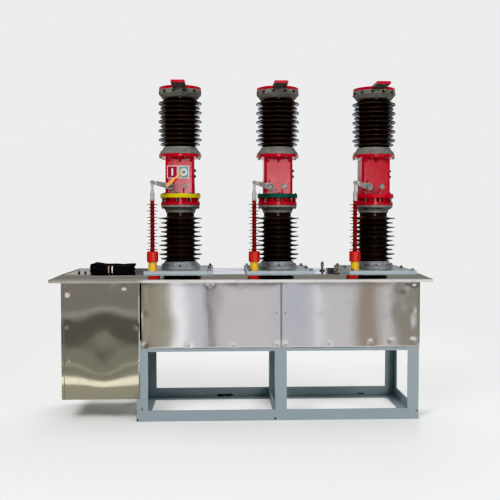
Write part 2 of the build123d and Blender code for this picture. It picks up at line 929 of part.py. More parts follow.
def rod_cap(x):
    """Rain cap over the guide tube, in one with the shaft that runs down through the roof."""
    shaft_r = rod_shaft_d / 2
    inner = rod_cap_d / 2 - rod_cap_wall
    half = [
        (0, deck_z - rod_shaft_below_roof),
        (shaft_r, deck_z - rod_shaft_below_roof),
        (shaft_r, cap_ceiling_z - rod_cap_top),
        (inner, cap_ceiling_z - rod_cap_top),
        (inner, cap_bottom_z),
        (rod_cap_d / 2, cap_bottom_z),
        (rod_cap_d / 2, cap_ceiling_z - rod_cap_edge),
        (rod_cap_d / 2 - rod_cap_edge, cap_ceiling_z),
        (0, cap_ceiling_z),
    ]
    return Pos(x + rod_dx, rod_y, 0) * turned(half)


def position_pointer(x):
    """Flat stepped hand beside the middle of the first crank's hub."""
    hub_front = -housing_depth / 2 - crank_boss_length - running_gap - crank_hub_length
    wide = slab(
        -pointer_wide / 2,
        pointer_wide / 2,
        hub_front - pointer_thick,
        hub_front,
        -pointer_tail,
        pointer_wide_length - pointer_tail,
    )
    narrow = slab(
        -pointer_narrow / 2,
        pointer_narrow / 2,
        hub_front - pointer_thick,
        hub_front,
        0,
        pointer_length - pointer_tail,
    )
    hand = wide + narrow
    hand = fillet(hand.edges().filter_by(Axis.Y), pointer_corner)
    return Pos(x + crank_x, 0, crank_zero) * Rot(0, pointer_lean_deg, 0) * Pos(-pointer_offset, 0, 0) * hand


def drive():
    for name, x in pole_x.items():
        save("crank_" + name, crank(x))
        save("rod_fitting_" + name, rod_fitting(x))
        save("rod_insulator_" + name, rod_insulator(x))
        save("rod_cap_" + name, rod_cap(x))
    save("position_pointer", position_pointer(pole_x["a"]))


# Control cable on the roof

def cable_gland():
    """Low domed gland on the deck with its outlet facing along the roof."""
    axis_z = deck_z + gland_axis_height
    dome_top = axis_z + gland_body_d / 2
    body = disc(gland_x, gland_y, deck_z, dome_top, gland_body_d)
    body = fillet(body.edges().group_by(Axis.Z)[-1], gland_dome_edge)
    body += disc(gland_x, gland_y, deck_z, deck_z + gland_foot_thick, gland_foot_d)
    nut = Plane.YZ.offset(gland_x) * Pos(gland_y, axis_z) * Circle(gland_nut_d / 2)
    return body + extrude(nut, amount=gland_body_d / 2 + gland_nut_length)


def cable_route():
    """Corners of the cable from the gland to where it joins the hank, chosen by hand."""
    outlet = gland_x + gland_body_d / 2 + gland_nut_length
    return [
        (outlet, gland_y, deck_z + gland_axis_height),
        (-945, gland_y, deck_z + gland_axis_height),
        (-900, -147, deck_z + 16),
        (-855, -177, deck_z + 10),
        (-814, -200, deck_z + 8),
    ]


def cable_lead(hank):
    """Cable along its route, ending on the hank's side."""
    points = [Vector(*p) for p in cable_route()]
    runs = [b - a for a, b in zip(points, points[1:])]
    radii = [
        0.45 * min(a.length, b.length) / tan(radians(a.get_angle(b) / 2)) for a, b in zip(runs, runs[1:])
    ]
    path = FilletPolyline(*points, radius=radii)
    tube = sweep(Plane(origin=path @ 0, z_dir=path % 0) * Circle(cable_d / 2), path=path)
    print("cable arcs", [round(r) for r in radii], "length", round(path.length, 1))
    print("cable volume over section times length", round(tube.volume / (pi * cable_d**2 / 4 * path.length), 4))
    return tube - hank


def cable_hank():
    """Outer form of the tied control cable that lies on the roof."""
    body = extrude(
        Plane.XY.offset(deck_z) * Pos(hank_x, hank_y) * SlotOverall(hank_length, hank_depth), amount=hank_height
    )
    return fillet(body.edges().group_by(Axis.Z)[-1], hank_edge)


def control_cable():
    hank = cable_hank()
    save("cable_gland", cable_gland())
    save("cable_lead", cable_lead(hank))
    save("cable_hank", hank)


def build():
    stand()
    housing_frame()
    floor_plates()
    covers()
    roof()
    deck_fittings()
    poles()
    drive()
    control_cable()


build()
os.makedirs("parts", exist_ok=True)
for node, shape in made.items():
    export_step(shape, "parts/" + node + ".step")
print("rod travel", round(rod_travel, 2), "ratio per radian", round(rod_travel / radians(crank_travel_deg), 5))
print("pin", round(rod_dx, 2), round(pin_z, 2))
print("guide top", round(guide_top_z, 2), "cap bottom", round(cap_bottom_z, 2))
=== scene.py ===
from functools import reduce
from math import cos, degrees, exp, pi, radians, sin, sqrt

import bpy
from mathutils import Matrix, Vector, noise


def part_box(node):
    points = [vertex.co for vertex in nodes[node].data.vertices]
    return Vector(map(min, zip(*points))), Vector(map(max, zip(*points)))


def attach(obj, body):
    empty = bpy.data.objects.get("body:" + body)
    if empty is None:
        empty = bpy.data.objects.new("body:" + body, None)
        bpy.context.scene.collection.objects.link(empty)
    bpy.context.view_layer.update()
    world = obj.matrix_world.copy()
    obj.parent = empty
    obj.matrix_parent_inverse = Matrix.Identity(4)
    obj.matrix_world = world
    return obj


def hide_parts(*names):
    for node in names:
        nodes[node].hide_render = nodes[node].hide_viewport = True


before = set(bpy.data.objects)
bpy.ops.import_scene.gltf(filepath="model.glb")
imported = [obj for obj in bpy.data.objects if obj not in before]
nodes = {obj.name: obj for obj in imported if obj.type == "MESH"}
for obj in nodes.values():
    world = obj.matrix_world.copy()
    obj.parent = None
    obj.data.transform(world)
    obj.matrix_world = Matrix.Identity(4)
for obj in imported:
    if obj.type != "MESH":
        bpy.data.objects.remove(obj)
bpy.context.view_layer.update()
print("frame loaded:", len(nodes), "nodes")

mm = 0.001  # sizes are in millimetres and angles in degrees unless a note says otherwise


def addObject(name, data):
    obj = bpy.data.objects.new(name, data)
    bpy.context.scene.collection.objects.link(obj)
    return obj


# Camera: the photograph's place and lens, its two angles in radians
photoCamera = {"place": (-160.8, -5604.0, 1396.3), "turnRight": 0.0411, "lookDown": 0.0373,
               "focalPixels": 752.5, "photoPixels": 500, "sensor": 36.0, "farEnd": 60000.0}


def makeCamera(c):
    camera = addObject("photoView", bpy.data.cameras.new("photoView"))
    camera.location = [v * mm for v in c["place"]]
    camera.rotation_euler = (pi / 2 - c["lookDown"], 0, -c["turnRight"])
    camera.data.sensor_width = c["sensor"]
    camera.data.lens = c["focalPixels"] / c["photoPixels"] * c["sensor"]
    camera.data.clip_end = c["farEnd"] * mm
    bpy.context.scene.camera = camera


makeCamera(photoCamera)


# Shader maths: a socket that can be added, multiplied and compared like a number
def feed(tree, socket, value):
    if isinstance(value, Sock):
        tree.links.new(value.socket, socket)
    elif hasattr(value, "__len__") and len(value) == 3 and len(socket.default_value) == 4:
        socket.default_value = (*value, 1)
    else:
        socket.default_value = value


class Sock:
    def __init__(self, tree, socket):
        self.tree, self.socket = tree, socket

    def calc(self, operation, *values):
        node = self.tree.nodes.new("ShaderNodeMath")
        node.operation = operation
        for socket, value in zip(node.inputs, values):
            feed(self.tree, socket, value)
        return Sock(self.tree, node.outputs[0])

    def __add__(self, other):
        return self.calc("ADD", self, other)

    def __sub__(self, other):
        return self.calc("SUBTRACT", self, other)

    def __rsub__(self, other):
        return self.calc("SUBTRACT", other, self)

    def __mul__(self, other):
        return self.calc("MULTIPLY", self, other)

    def __abs__(self):
        return self.calc("ABSOLUTE", self)

    def larger(self, other):
        return self.calc("MAXIMUM", self, other)

    __radd__ = __add__
    __rmul__ = __mul__


class Shading:
    # a node tree and the few kinds of node that the finishes and the sky are made of
    def __init__(self, tree, place="Object"):
        self.tree = tree
        tree.nodes.clear()
        self.place = self.node("TexCoord", out=place)

    def node(self, kind, settings={}, sockets={}, out=0):
        node = self.tree.nodes.new("ShaderNode" + kind)
        for key, value in settings.items():
            setattr(node, key, value)
        for key, value in sockets.items():
            feed(self.tree, node.inputs[key], value)
        return Sock(self.tree, node.outputs[out])

    def grain(self, scale, detail, rough=0.55, stretch=None):
        place = self.place
        if stretch:
            place = self.node("Mapping", {}, {"Vector": place, "Scale": stretch})
        return self.node("TexNoise", {"noise_dimensions": "3D"},
                         {"Vector": place, "Scale": scale, "Detail": detail, "Roughness": rough})

    def ramp(self, value, low, high):
        # 0 at low, 1 at high
        return self.node("MapRange", {"clamp": True}, {"Value": value, "From Min": low, "From Max": high})

    def band(self, value, low, high, soft):
        # 1 between low and high, with soft edges
        return self.ramp(value, low - soft, low) * self.ramp(value, high + soft, high)

    def mix(self, share, one, other):
        return self.node("Mix", {"data_type": "RGBA"}, {0: share, 6: one, 7: other}, out=2)

    def axis(self, index, source=None):
        return self.node("SeparateXYZ", {}, {0: source or self.place}, out=index)

    def upward(self, low, high):
        # how far a face looks up: 0 where its direction rises to low, 1 where it rises to high
        return self.ramp(self.axis(2, self.node("NewGeometry", out="Normal")), low, high)

    def near(self, at, reach):
        # 1 at a point of the frame, 0 at reach from it
        away = self.node("VectorMath", {"operation": "DISTANCE"}, {0: self.place, 1: [v * mm for v in at]},
                         out="Value")
        return self.ramp(away, reach * mm, 0.0)


class Finish(Shading):
    # one material, whose surface takes its values through set()
    def __init__(self, name, **fixed):
        self.material = bpy.data.materials.new(name)
        self.material.use_nodes = True
        super().__init__(self.material.node_tree)
        self.surface = self.tree.nodes.new("ShaderNodeBsdfPrincipled")
        output = self.tree.nodes.new("ShaderNodeOutputMaterial")
        self.tree.links.new(self.surface.outputs[0], output.inputs["Surface"])
        self.set(**fixed)

    def set(self, **values):
        for key, value in values.items():
            feed(self.tree, self.surface.inputs[key.replace("_", " ")], value)
        return self.material


# Finishes. A patch is noise between two levels: scale, detail, the levels of 0 and 1, and its roughness if
# that isn't the usual one. "upward" keeps a patch to faces that look up or down. Layers are laid on in turn:
# how much of each patch, the colour or a number times the first colour, and sometimes a patch that limits the
# layer. "rough" and "coat" add up patches too. Bumps run from the first to the last: a patch or a noise,
# distance in metres, strength.
def weighed(masks, weights):
    total = weights.get("base")
    for key, weight in weights.items():
        if key != "base":
            part = masks[key] * weight
            total = part if total is None else total + part
    return total


def makeFinish(name, look):
    f = Finish(name, **look.get("fixed", {}))
    masks = {}
    for key, (scale, detail, low, high, *rough) in look["patches"].items():
        stretch = look.get("stretch", {}).get(key)
        masks[key] = f.ramp(f.grain(scale, detail, *rough, stretch=stretch), low, high)
    for key, levels in look.get("upward", {}).items():
        masks[key] = f.upward(*levels) * masks.get(key, 1.0)
    if "marks" in look:
        look["marks"](f, masks)
    base = look["colour"]
    for weights, colour, *limit in look["layers"]:
        if isinstance(colour, float):
            colour = tuple(colour * c for c in look["colour"])
        elif isinstance(colour[0], str):
            colour = f.mix(masks[colour[0]], *colour[1:])
        share = weighed(masks, weights)
        base = f.mix(share * masks[limit[0]] if limit else share, base, colour)
    f.set(Base_Color=base, Roughness=weighed(masks, look["rough"]))
    if "coat" in look:
        f.set(Coat_Weight=weighed(masks, look["coat"]))
    normal = {}
    for source, distance, strength in look["bumps"]:
        height = masks[source] if isinstance(source, str) else f.grain(*source)
        normal = {"Normal": f.node("Bump", {}, {"Height": height, "Distance": distance, "Strength": strength,
                                                **normal})}
    return f.set(**normal)


# Marks on the stand: rust spots as x, y, z, reach, and smudges as low x, high x, y, z, thickness
standMarks = {
    "rust": [(-733, -365, 14, 16), (233, -365, 14, 16), (1238, -365, 60, 12), (-640, 330, 30, 30),
             (-700, -357, 85, 22)],
    "smudges": [(-190, -40, 357, 16, 13), (935, 1010, 357, 20, 9)], "smudgeDepth": (0.05, 0.03),
    "ragged": {"rust": (0.9, 0.42, 0.58), "grime": (1.1, 0.42, 0.55)}, "rustRise": 2.0,
}


def addStandMarks(f, masks):
    c = standMarks
    smudges = []
    for x0, x1, y, z, thick in c["smudges"]:
        along = f.ramp(abs(f.axis(0) - (x0 + x1) / 2 * mm), (x1 - x0) / 2 * mm, (x1 - x0) / 3 * mm)
        across = f.ramp(abs(f.axis(2) - z * mm), thick * mm, 0.0)
        smudges.append(along * across * f.ramp(abs(f.axis(1) - y * mm), *c["smudgeDepth"]))
    spots = [f.near((x, y, z), reach) for x, y, z, reach in c["rust"]]
    for key, marks, chips in (("rust", spots, "chips"), ("grime", smudges, "smears")):
        ragged, low, high = c["ragged"][key]
        masks[key] = f.ramp(reduce(Sock.larger, marks) + (masks[chips] - 0.5) * ragged, low, high)
    masks["peel"] = masks["peel"] + masks["rust"] * c["rustRise"]


def sheetLook(stretch, warm=0.0):
    return {"fixed": {"Metallic": 1.0}, "colour": (0.66, 0.655, 0.645), "stretch": {"lines": stretch},
            "patches": {"lines": (1.0, 6, 0, 1, 0.7), "cloud": (1.7, 4, 0.3, 0.7),
                        "stains": (9, 6, 0.55, 0.8, 0.65)},
            "layers": [({"base": warm, "cloud": 0.7}, (0.70, 0.685, 0.66)),
                       ({"stains": 0.25}, (0.50, 0.48, 0.45))],
            "rough": {"base": 0.035, "lines": 0.06, "stains": 0.08},
            "bumps": [((2.6, 2, 0.35), 0.006, 0.3), ("lines", 0.0003, 0.2)]}


def zincLook(colour, rough):
    return {"fixed": {"Metallic": 1.0}, "colour": colour,
            "patches": {"cloud": (60, 5, 0.35, 0.7), "grime": (150, 5, 0.5, 0.8, 0.7)},
            "layers": [({"cloud": 0.5}, 0.72), ({"grime": 0.35}, (0.10, 0.09, 0.08))],
            "rough": {"base": rough, "cloud": 0.16, "grime": 0.2}, "bumps": [((420, 3), 0.0003, 0.3)]}


def castLook(light, dark, under, rough, metallic):
    return {"fixed": {"Metallic": metallic}, "colour": light,
            "upward": {"dust": (0.3, 0.95), "under": (0.2, -0.7)},
            "patches": {"cloud": (22, 5, 0.3, 0.75), "dust": (70, 5, 0.35, 0.7)},
            # faces that look down take the darker under colour: painted shade
            "layers": [({"cloud": 1.0}, dark), ({"under": 0.45}, under), ({"dust": 0.5}, (0.30, 0.28, 0.25))],
            "rough": {"base": rough, "cloud": 0.12, "dust": 0.15},
            "bumps": [("cloud", 0.002, 0.2), ((520, 4, 0.6), 0.0012, 0.5)]}


def glossLook(colour, deep, rough=0.22, peel=0.25, dusty=(0.35, 0.25, 0.22)):
    return {"fixed": {"Specular_IOR_Level": 0.5, "Coat_IOR": 1.5, "Coat_Roughness": 0.10}, "colour": colour,
            "patches": {"cloud": (14, 4, 0.3, 0.7), "dust": (80, 5, 0.4, 0.7),
                        "scuffs": (1.0, 6, 0.64, 0.8, 0.75)},
            "stretch": {"scuffs": (60, 60, 260)}, "upward": {"dust": (0.4, 0.95)},
            "layers": [({"cloud": 0.6}, deep), ({"dust": 0.25, "scuffs": 0.10}, dusty)],
            "rough": {"base": rough, "cloud": 0.06, "dust": 0.25, "scuffs": 0.2},
            "coat": {"base": 0.80, "dust": -0.5},
            "bumps": [((30, 3), 0.003, 0.22), ((170, 2, 0.4), 0.001, peel)]}


def softLook(colour, worn, rough, patch, share, fuzz, fixed={}):
    # rubber and plastic: one worn patch, "share" how much it shows in the colour and in the roughness
    return {"fixed": fixed, "colour": colour, "patches": {"wear": patch},
            "layers": [({"wear": share[0]}, worn)],
            "rough": {"base": rough, "wear": share[1]}, "bumps": [fuzz]}


def rubberLook(colour, worn, rough):
    return softLook(colour, worn, rough, (90, 5, 0.45, 0.75, 0.65), (0.5, 0.25), ((700, 2), 0.0002, 0.3),
                    {"Specular_IOR_Level": 0.45})


def plasticLook(colour, rough=0.35):
    return softLook(colour, 0.72, rough, (120, 4, 0.45, 0.75), (0.35, 0.15), ((300, 2), 0.0003, 0.2))


looks = {
    "standPaint": {
        "fixed": {"Specular_IOR_Level": 0.45}, "colour": (0.250, 0.298, 0.324), "marks": addStandMarks,
        "patches": {"cloud": (2.2, 5, 0.35, 0.7), "dust": (18, 5, 0.35, 0.75), "chips": (95, 6, 0, 1, 0.7),
                    "smears": (40, 5, 0, 1), "peel": (260, 2, 0, 1, 0.4)},
        "upward": {"dust": (0.6, 1.0)},
        "layers": [({"cloud": 0.35}, 1.10), ({"dust": 0.55}, (0.34, 0.36, 0.365)),
                   ({"rust": 1.0}, (0.10, 0.022, 0.008)), ({"grime": 1.0}, (0.02, 0.018, 0.016))],
        "rough": {"base": 0.36, "cloud": 0.12, "rust": 0.4, "dust": 0.2},
        "bumps": [((7, 3), 0.004, 0.25), ("peel", 0.0006, 0.35)]},
    "stainlessSheet": sheetLook((1.2, 260, 260)),
    "stainlessUpright": sheetLook((260, 260, 1.2), 0.1),
    "zincSteel": zincLook((0.55, 0.55, 0.53), 0.28),
    "boltZinc": zincLook((0.66, 0.66, 0.63), 0.28),
    "screwSteel": zincLook((0.86, 0.85, 0.83), 0.14),
    "boltDark": zincLook((0.20, 0.19, 0.18), 0.40),
    "deckPaint": {
        "colour": (0.36, 0.42, 0.46), "upward": {"top": (0.6, 0.95)},
        "patches": {"cloud": (3.5, 5, 0.3, 0.75), "dirt": (24, 6, 0.52, 0.8, 0.7)},
        "layers": [({"cloud": 0.5}, (0.42, 0.47, 0.50)), ({"dirt": 0.4}, (0.24, 0.24, 0.22)),
                   # painted reflection: faces that look up are darkened, standing in for the dark
                   # surroundings they reflect
                   ({"base": 0.6, "cloud": 0.3}, (0.17, 0.175, 0.185), "top")],
        "rough": {"base": 0.26, "dirt": 0.25}, "bumps": [((180, 3), 0.0005, 0.3)]},
    # the third colour of each cast finish is painted shade for its faces that look down
    "castDark": castLook((0.31, 0.305, 0.280), (0.20, 0.197, 0.182), (0.090, 0.0887, 0.0819), 0.55, 0.35),
    "castSilver": castLook((0.46, 0.475, 0.50), (0.32, 0.335, 0.36), (0.144, 0.1508, 0.162), 0.42, 0.4),
    "leverMetal": {
        "fixed": {"Metallic": 0.3}, "colour": (0.50, 0.49, 0.465),
        "patches": {"cloud": (35, 5, 0.35, 0.7, 0.6), "dirt": (90, 6, 0.5, 0.75, 0.7)},
        "layers": [({"cloud": 0.6}, (0.40, 0.39, 0.37)), ({"dirt": 0.35}, (0.12, 0.11, 0.10))],
        "rough": {"base": 0.42, "cloud": 0.10, "dirt": 0.15}, "bumps": [((320, 4), 0.0006, 0.4)]},
    "brownGlaze": {
        "fixed": {"Specular_IOR_Level": 0.6, "Coat_IOR": 1.55, "Coat_Roughness": 0.06},
        "colour": (0.0085, 0.0055, 0.0055), "upward": {"dust": (0.25, 0.9)},
        "patches": {"flow": (7, 4, 0.35, 0.7, 0.5), "dust": (45, 5, 0.3, 0.75), "edge": (30, 3, 0.4, 0.7)},
        "layers": [({"flow": 1.0}, (0.020, 0.011, 0.009)), ({"dust": 0.22}, (0.10, 0.085, 0.07))],
        "rough": {"base": 0.16, "dust": 0.30, "edge": 0.04}, "coat": {"base": 0.75, "dust": -0.45},
        "bumps": [((240, 2), 0.0004, 0.12), ((16, 3, 0.4), 0.003, 0.18)]},
    "housingRed": glossLook((0.425, 0.006, 0.018), (0.31, 0.004, 0.013)),
    "terminalPaint": {  # red above and on the edges; faces that look down turn grey, rougher and with less coat
        "fixed": {"Specular_IOR_Level": 0.5, "Coat_IOR": 1.5, "Coat_Roughness": 0.12},
        "colour": (0.46, 0.006, 0.020), "upward": {"dust": (0.4, 0.95), "below": (-0.4, -0.6)},
        "patches": {"cloud": (14, 4, 0.3, 0.7), "dust": (60, 5, 0.4, 0.7)},
        "layers": [({"cloud": 0.6}, (0.34, 0.004, 0.016)), ({"dust": 0.3}, (0.35, 0.25, 0.22)),
                   ({"below": 1.0}, ("cloud", (0.16, 0.165, 0.16), (0.10, 0.10, 0.10)))],
        "rough": {"base": 0.26, "dust": 0.3, "below": 0.25}, "coat": {"base": 0.5, "below": -0.5},
        "bumps": [((260, 3), 0.0008, 0.35)]},
    "capRed": glossLook((0.52, 0.026, 0.020), (0.42, 0.016, 0.014), 0.30),
    "tubeYellow": glossLook((0.74, 0.47, 0.035), (0.62, 0.37, 0.022), 0.28, 0.2, (0.45, 0.3, 0.1)),
    "pointerOrange": glossLook((0.66, 0.28, 0.006), (0.56, 0.22, 0.004), 0.3, 0.2, (0.45, 0.3, 0.1)),
    "ringYellow": plasticLook((0.52, 0.42, 0.010)),
    "ringGreen": plasticLook((0.004, 0.062, 0.040)),
    "ringRed": plasticLook((0.48, 0.006, 0.018)),
    "siliconeRed": {
        "fixed": {"Specular_IOR_Level": 0.4}, "colour": (0.29, 0.020, 0.019), "upward": {"dust": (0.2, 0.9)},
        "patches": {"cloud": (50, 4, 0.3, 0.7), "dust": (120, 4, 0.3, 0.7)},
        "layers": [({"cloud": 1.0}, (0.18, 0.012, 0.013)), ({"dust": 0.3}, (0.30, 0.12, 0.10))],
        "rough": {"base": 0.40, "dust": 0.25}, "bumps": [((500, 2), 0.0002, 0.25)]},
    "cableSheath": rubberLook((0.012, 0.012, 0.0132), (0.0384, 0.036, 0.036), 0.38),
    "gasketBlack": rubberLook((0.008, 0.008, 0.0088), (0.0256, 0.024, 0.024), 0.5),
    "tieWhite": plasticLook((0.62, 0.62, 0.66), 0.3),
    "tieBrown": plasticLook((0.34, 0.22, 0.15), 0.4),
    "signWhite": plasticLook((0.70, 0.71, 0.68), 0.3),
    "signRed": plasticLook((0.26, 0.012, 0.030), 0.3),
    "signGreen": plasticLook((0.17, 0.27, 0.26), 0.3),
}
finishes = {name: makeFinish(name, look) for name, look in looks.items()}
print("finishes made:", len(finishes))


# Forms
def ring(count, first=0.0):
    # evenly spaced angles of a full turn, in radians
    return [radians(first + 360 * i / count) for i in range(count)]


def strips(rows, count, shut=True, closed=False):
    # quads between rows of count points: shut joins the ends of each row, closed the last row to the first
    faces = []
    for j in range(rows if closed else rows - 1):
        low, high = j * count, (j + 1) % rows * count
        faces += [[low + i, low + (i + 1) % count, high + (i + 1) % count, high + i]
                  for i in range(count if shut else count - 1)]
    return faces


class Form:
    # points and faces gathered in millimetres, then made into one object
    def __init__(self):
        self.points, self.faces = [], []

    def add(self, points, faces, place=Matrix()):
        start = len(self.points)
        self.points += [place @ Vector(p) for p in points]
        self.faces += [[start + i for i in face] for face in faces]
        return self

    def rows(self, rows, place=Matrix(), lids=True, **joins):
        # rows of equally many points, joined in turn, with lids on the first and the last
        count = len(rows[0])
        last = (len(rows) - 1) * count
        faces = strips(len(rows), count, **joins)
        if lids:
            faces += [list(range(count - 1, -1, -1)), list(range(last, last + count))]
        return self.add([p for row in rows for p in row], faces, place)

    def lathe(self, profile, sides, place=Matrix(), closed=False):
        # profile is (radius, height) from the lowest to the highest, turned about the upright axis
        rows = [[(r * cos(a), r * sin(a), z) for a in ring(sides)] for r, z in profile]
        return self.rows(rows, place, not closed, closed=closed)

    def turned(self, parts, place=Matrix()):
        # several parts on one axis: sides, angle of the first corner, profile
        for sides, angle, profile in parts:
            self.lathe(profile, sides, place @ Matrix.Rotation(radians(angle), 4, "Z"))
        return self

    def prism(self, outline, low, high, place=Matrix()):
        # outline runs anticlockwise in X and Y
        return self.rows([[(x, y, z) for x, y in outline] for z in (low, high)], place)

    def bar(self, path, radius, sides):
        # round bar along the points of path
        line = [Vector(p) for p in path]
        side = (line[1] - line[0]).orthogonal()
        rows = []
        for i, p in enumerate(line):
            ahead = (line[min(i + 1, len(line) - 1)] - line[max(i - 1, 0)]).normalized()
            side = (side - ahead * side.dot(ahead)).normalized()
            other = ahead.cross(side)
            rows.append([p + radius * (cos(a) * side + sin(a) * other) for a in ring(sides)])
        return self.rows(rows)

    def make(self, name, finish, slot, replaces=(), sharp=35, body="base"):
        mesh = bpy.data.meshes.new(name)
        mesh.from_pydata([p * mm for p in self.points], [], self.faces)
        mesh.validate()
        mesh.shade_smooth()
        mesh.set_sharp_from_angle(angle=radians(sharp))
        mesh.materials.append(finishes[finish])
        piece = addObject(name, mesh)
        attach(piece, body)
        if replaces:
            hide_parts(*replaces)
        return piece


def thicken(piece, thickness):
    # sheet thickness, inward from the face that shows
    solid = piece.modifiers.new("thickness", "SOLIDIFY")
    solid.thickness = thickness * mm
    solid.offset = -1


def shift(x, y, z):
    return Matrix.Translation((x, y, z))


front = (0, -1, 0)


def spun(axis, at):
    # place whose upright axis points along axis, at a point
    turn = Vector((0, 0, 1)).rotation_difference(Vector(axis)).to_matrix().to_4x4()
    return shift(*at) @ turn


def roundedOutline(x0, x1, y0, y1, r, steps=4):
    # rectangle with round corners, each in a number of steps
    points = []
    for cx, cy, start in ((x1 - r, y1 - r, 0), (x0 + r, y1 - r, 90), (x0 + r, y0 + r, 180),
                          (x1 - r, y0 + r, 270)):
        turn = [radians(start + 90 * i / steps) for i in range(steps + 1)]
        points += [(cx + r * cos(a), cy + r * sin(a)) for a in turn]
    return points


# Bolts and nuts, as shares of the thread's diameter; "shoulder" and "crown" are shares of the head itself
boltShape = {"across": 1.55, "head": 0.72, "shoulder": 0.86, "crown": 0.90, "washer": 0.16,
             "washerEdge": 0.94, "tipChamfer": 0.1, "tipR": 0.42, "washerSides": 20, "tipSides": 14}


def hexHead(form, place, across, height, turned):
    # hexagon that narrows at its crown
    c = boltShape
    r = across / sqrt(3)
    form.turned([(6, turned, [(r, 0), (r, c["shoulder"] * height), (c["crown"] * r, height)])], place)


def bolt(form, at, axis, size, tip=0.0, turned=0.0, washer=True):
    # hexagon head or nut on a washer, with an optional stud end of length tip
    c = boltShape
    place = spun(axis, at)
    lift = c["washer"] * size if washer else 0.0
    if washer:
        form.lathe([(size, 0), (size, 0.8 * lift), (c["washerEdge"] * size, lift)], c["washerSides"], place)
    hexHead(form, place @ shift(0, 0, lift), c["across"] * size, c["head"] * size, turned)
    if tip:
        r = size / 2
        top = lift + c["head"] * size
        form.lathe([(r, top - 1), (r, top + tip - c["tipChamfer"] * size), (c["tipR"] * size, top + tip)],
                   c["tipSides"], place)


def span(node):
    low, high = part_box(node)
    return low / mm, high / mm


def centre(node):
    low, high = span(node)
    return (low + high) / 2


def each(stem):
    return [stem + name for name in "abc"]


poles = {name: centre("housing_" + name).x for name in "abc"}
deckZ, plateZ = [end.z for end in span("pole_base_plates")]


# CAD nodes that keep their own shape: finish, width of their rounded edges, nodes
dressed = [
    ("standPaint", 2.0, ["stand_legs", "stand_bottom_rails", "stand_bottom_cross_rails", "stand_top_rails",
                         "stand_top_cross_rails"]),
    ("stainlessSheet", 0.6, ["floor_plates"]),
    ("stainlessUpright", 0.6, ["side_covers", "cabinet_inner_wall", "back_covers"]),
    ("zincSteel", 0.8, ["frame_posts", "roof_frame"]),
    ("leverMetal", 1.0, each("crank_") + each("rod_fitting_")),
    ("boltZinc", 0.8, ["lower_terminals"]),
    ("gasketBlack", 1.0, ["cable_gland"]),
    ("deckPaint", 2.0, ["pole_base_plates"]),
    ("tubeYellow", 1.0, ["guide_tubes"]),
    ("castSilver", 1.5, ["bottom_flanges"]),
    ("castDark", 1.5, ["middle_flanges", "upper_flanges", "top_flanges"]),
    ("housingRed", 2.0, each("housing_")),
    ("terminalPaint", 2.0, ["top_terminals"]),
    ("capRed", 1.2, each("rod_cap_")),
    ("ringYellow", 0.8, ["phase_ring_yellow"]),
    ("ringGreen", 0.8, ["phase_ring_green"]),
    ("ringRed", 0.8, ["phase_ring_red"]),
    ("pointerOrange", 0.6, ["position_pointer"]),
]
edgeLook = {"sharpFrom": 28, "roundFrom": 40, "segments": 2}


def dress(node, finish, width, c):
    obj = nodes[node]
    obj.data.materials.clear()
    obj.data.materials.append(finishes[finish])
    for polygon in obj.data.polygons:
        polygon.material_index = 0
    obj.data.shade_smooth()
    obj.data.set_sharp_from_angle(angle=radians(c["sharpFrom"]))
    bevel = obj.modifiers.new("soften", "BEVEL")
    bevel.width = width * mm
    bevel.segments = c["segments"]
    bevel.limit_method = "ANGLE"
    bevel.angle_limit = radians(c["roundFrom"])
    bevel.harden_normals = True


for finish, width, names in dressed:
    for node in names:
        dress(node, finish, width, edgeLook)
print("CAD nodes finished:", sum(len(row[2]) for row in dressed))


# Roof: one bent sheet with soft waves; its lip runs from the hem up, as inset and height
roofLook = {
    "step": 26.0, "hip": 67.0, "slopeSteps": 4, "sheet": 2.0, "wave": 0.9, "waveX": 0.005, "waveY": 0.006,
    "seed": 5.7,
    "lip": [(9.0, -8.5), (0.0, -10.0), (0.27, 9.4), (0.28, 10.0), (1.4, 12.6), (4.2, 13.9)],
}


def roofSheet(c):
    low, high = span("roof")
    middle, half = (low + high) / 2, (high - low) / 2
    countX, countY = round(2 * half.x / c["step"]), round(2 * half.y / c["step"])

    def spot(i, j, inset, z, sag):
        x = middle.x + (2 * i / countX - 1) * (half.x - inset)
        y = middle.y + (2 * j / countY - 1) * (half.y - inset)
        dip = sag * c["wave"]
        return x, y, z - dip * (1 + noise.noise(Vector((x * c["waveX"], y * c["waveY"], c["seed"]))))

    start, rise = c["lip"][-1]
    rings = [(inset, low.z + z, 0) for inset, z in c["lip"]]
    for i in range(1, c["slopeSteps"] + 1):
        share = i / c["slopeSteps"]
        z = low.z + rise + share * (high.z - low.z - rise)
        rings.append((start + share * (c["hip"] - start), z, 1 if share < 1 else 0))
    border = [(i, 0) for i in range(countX)] + [(countX, j) for j in range(countY)]
    border += [(countX - i, countY) for i in range(countX)] + [(0, countY - j) for j in range(countY)]
    points = [spot(i, j, *row) for row in rings for i, j in border]
    faces = strips(len(rings), len(border))
    index = {place: len(points) - len(border) + k for k, place in enumerate(border)}
    for j in range(1, countY):
        for i in range(1, countX):
            index[i, j] = len(points)
            points.append(spot(i, j, c["hip"], high.z, 1))
    faces += [[index[i, j], index[i + 1, j], index[i + 1, j + 1], index[i, j + 1]]
              for j in range(countY) for i in range(countX)]
    form = Form().add(points, faces)
    thicken(form.make("roofSheet", "stainlessSheet", "stainless_sheet", ["roof"], 50), c["sheet"])


roofSheet(roofLook)


# Lifting eyes: forged ring on a collar, each turned its own way
eyeLook = {"collar": [(19, 0), (20, 1), (20, 6.5), (18.5, 8), (11.5, 10), (8.5, 16), (7.5, 28.5)],
           "sides": 32, "inX": 28.0, "inY": 20.0, "ringR": 18.5, "barR": 6.0, "barSides": 14,
           "ringSides": 36, "middle": 46.0, "turns": (62.0, 54.0)}


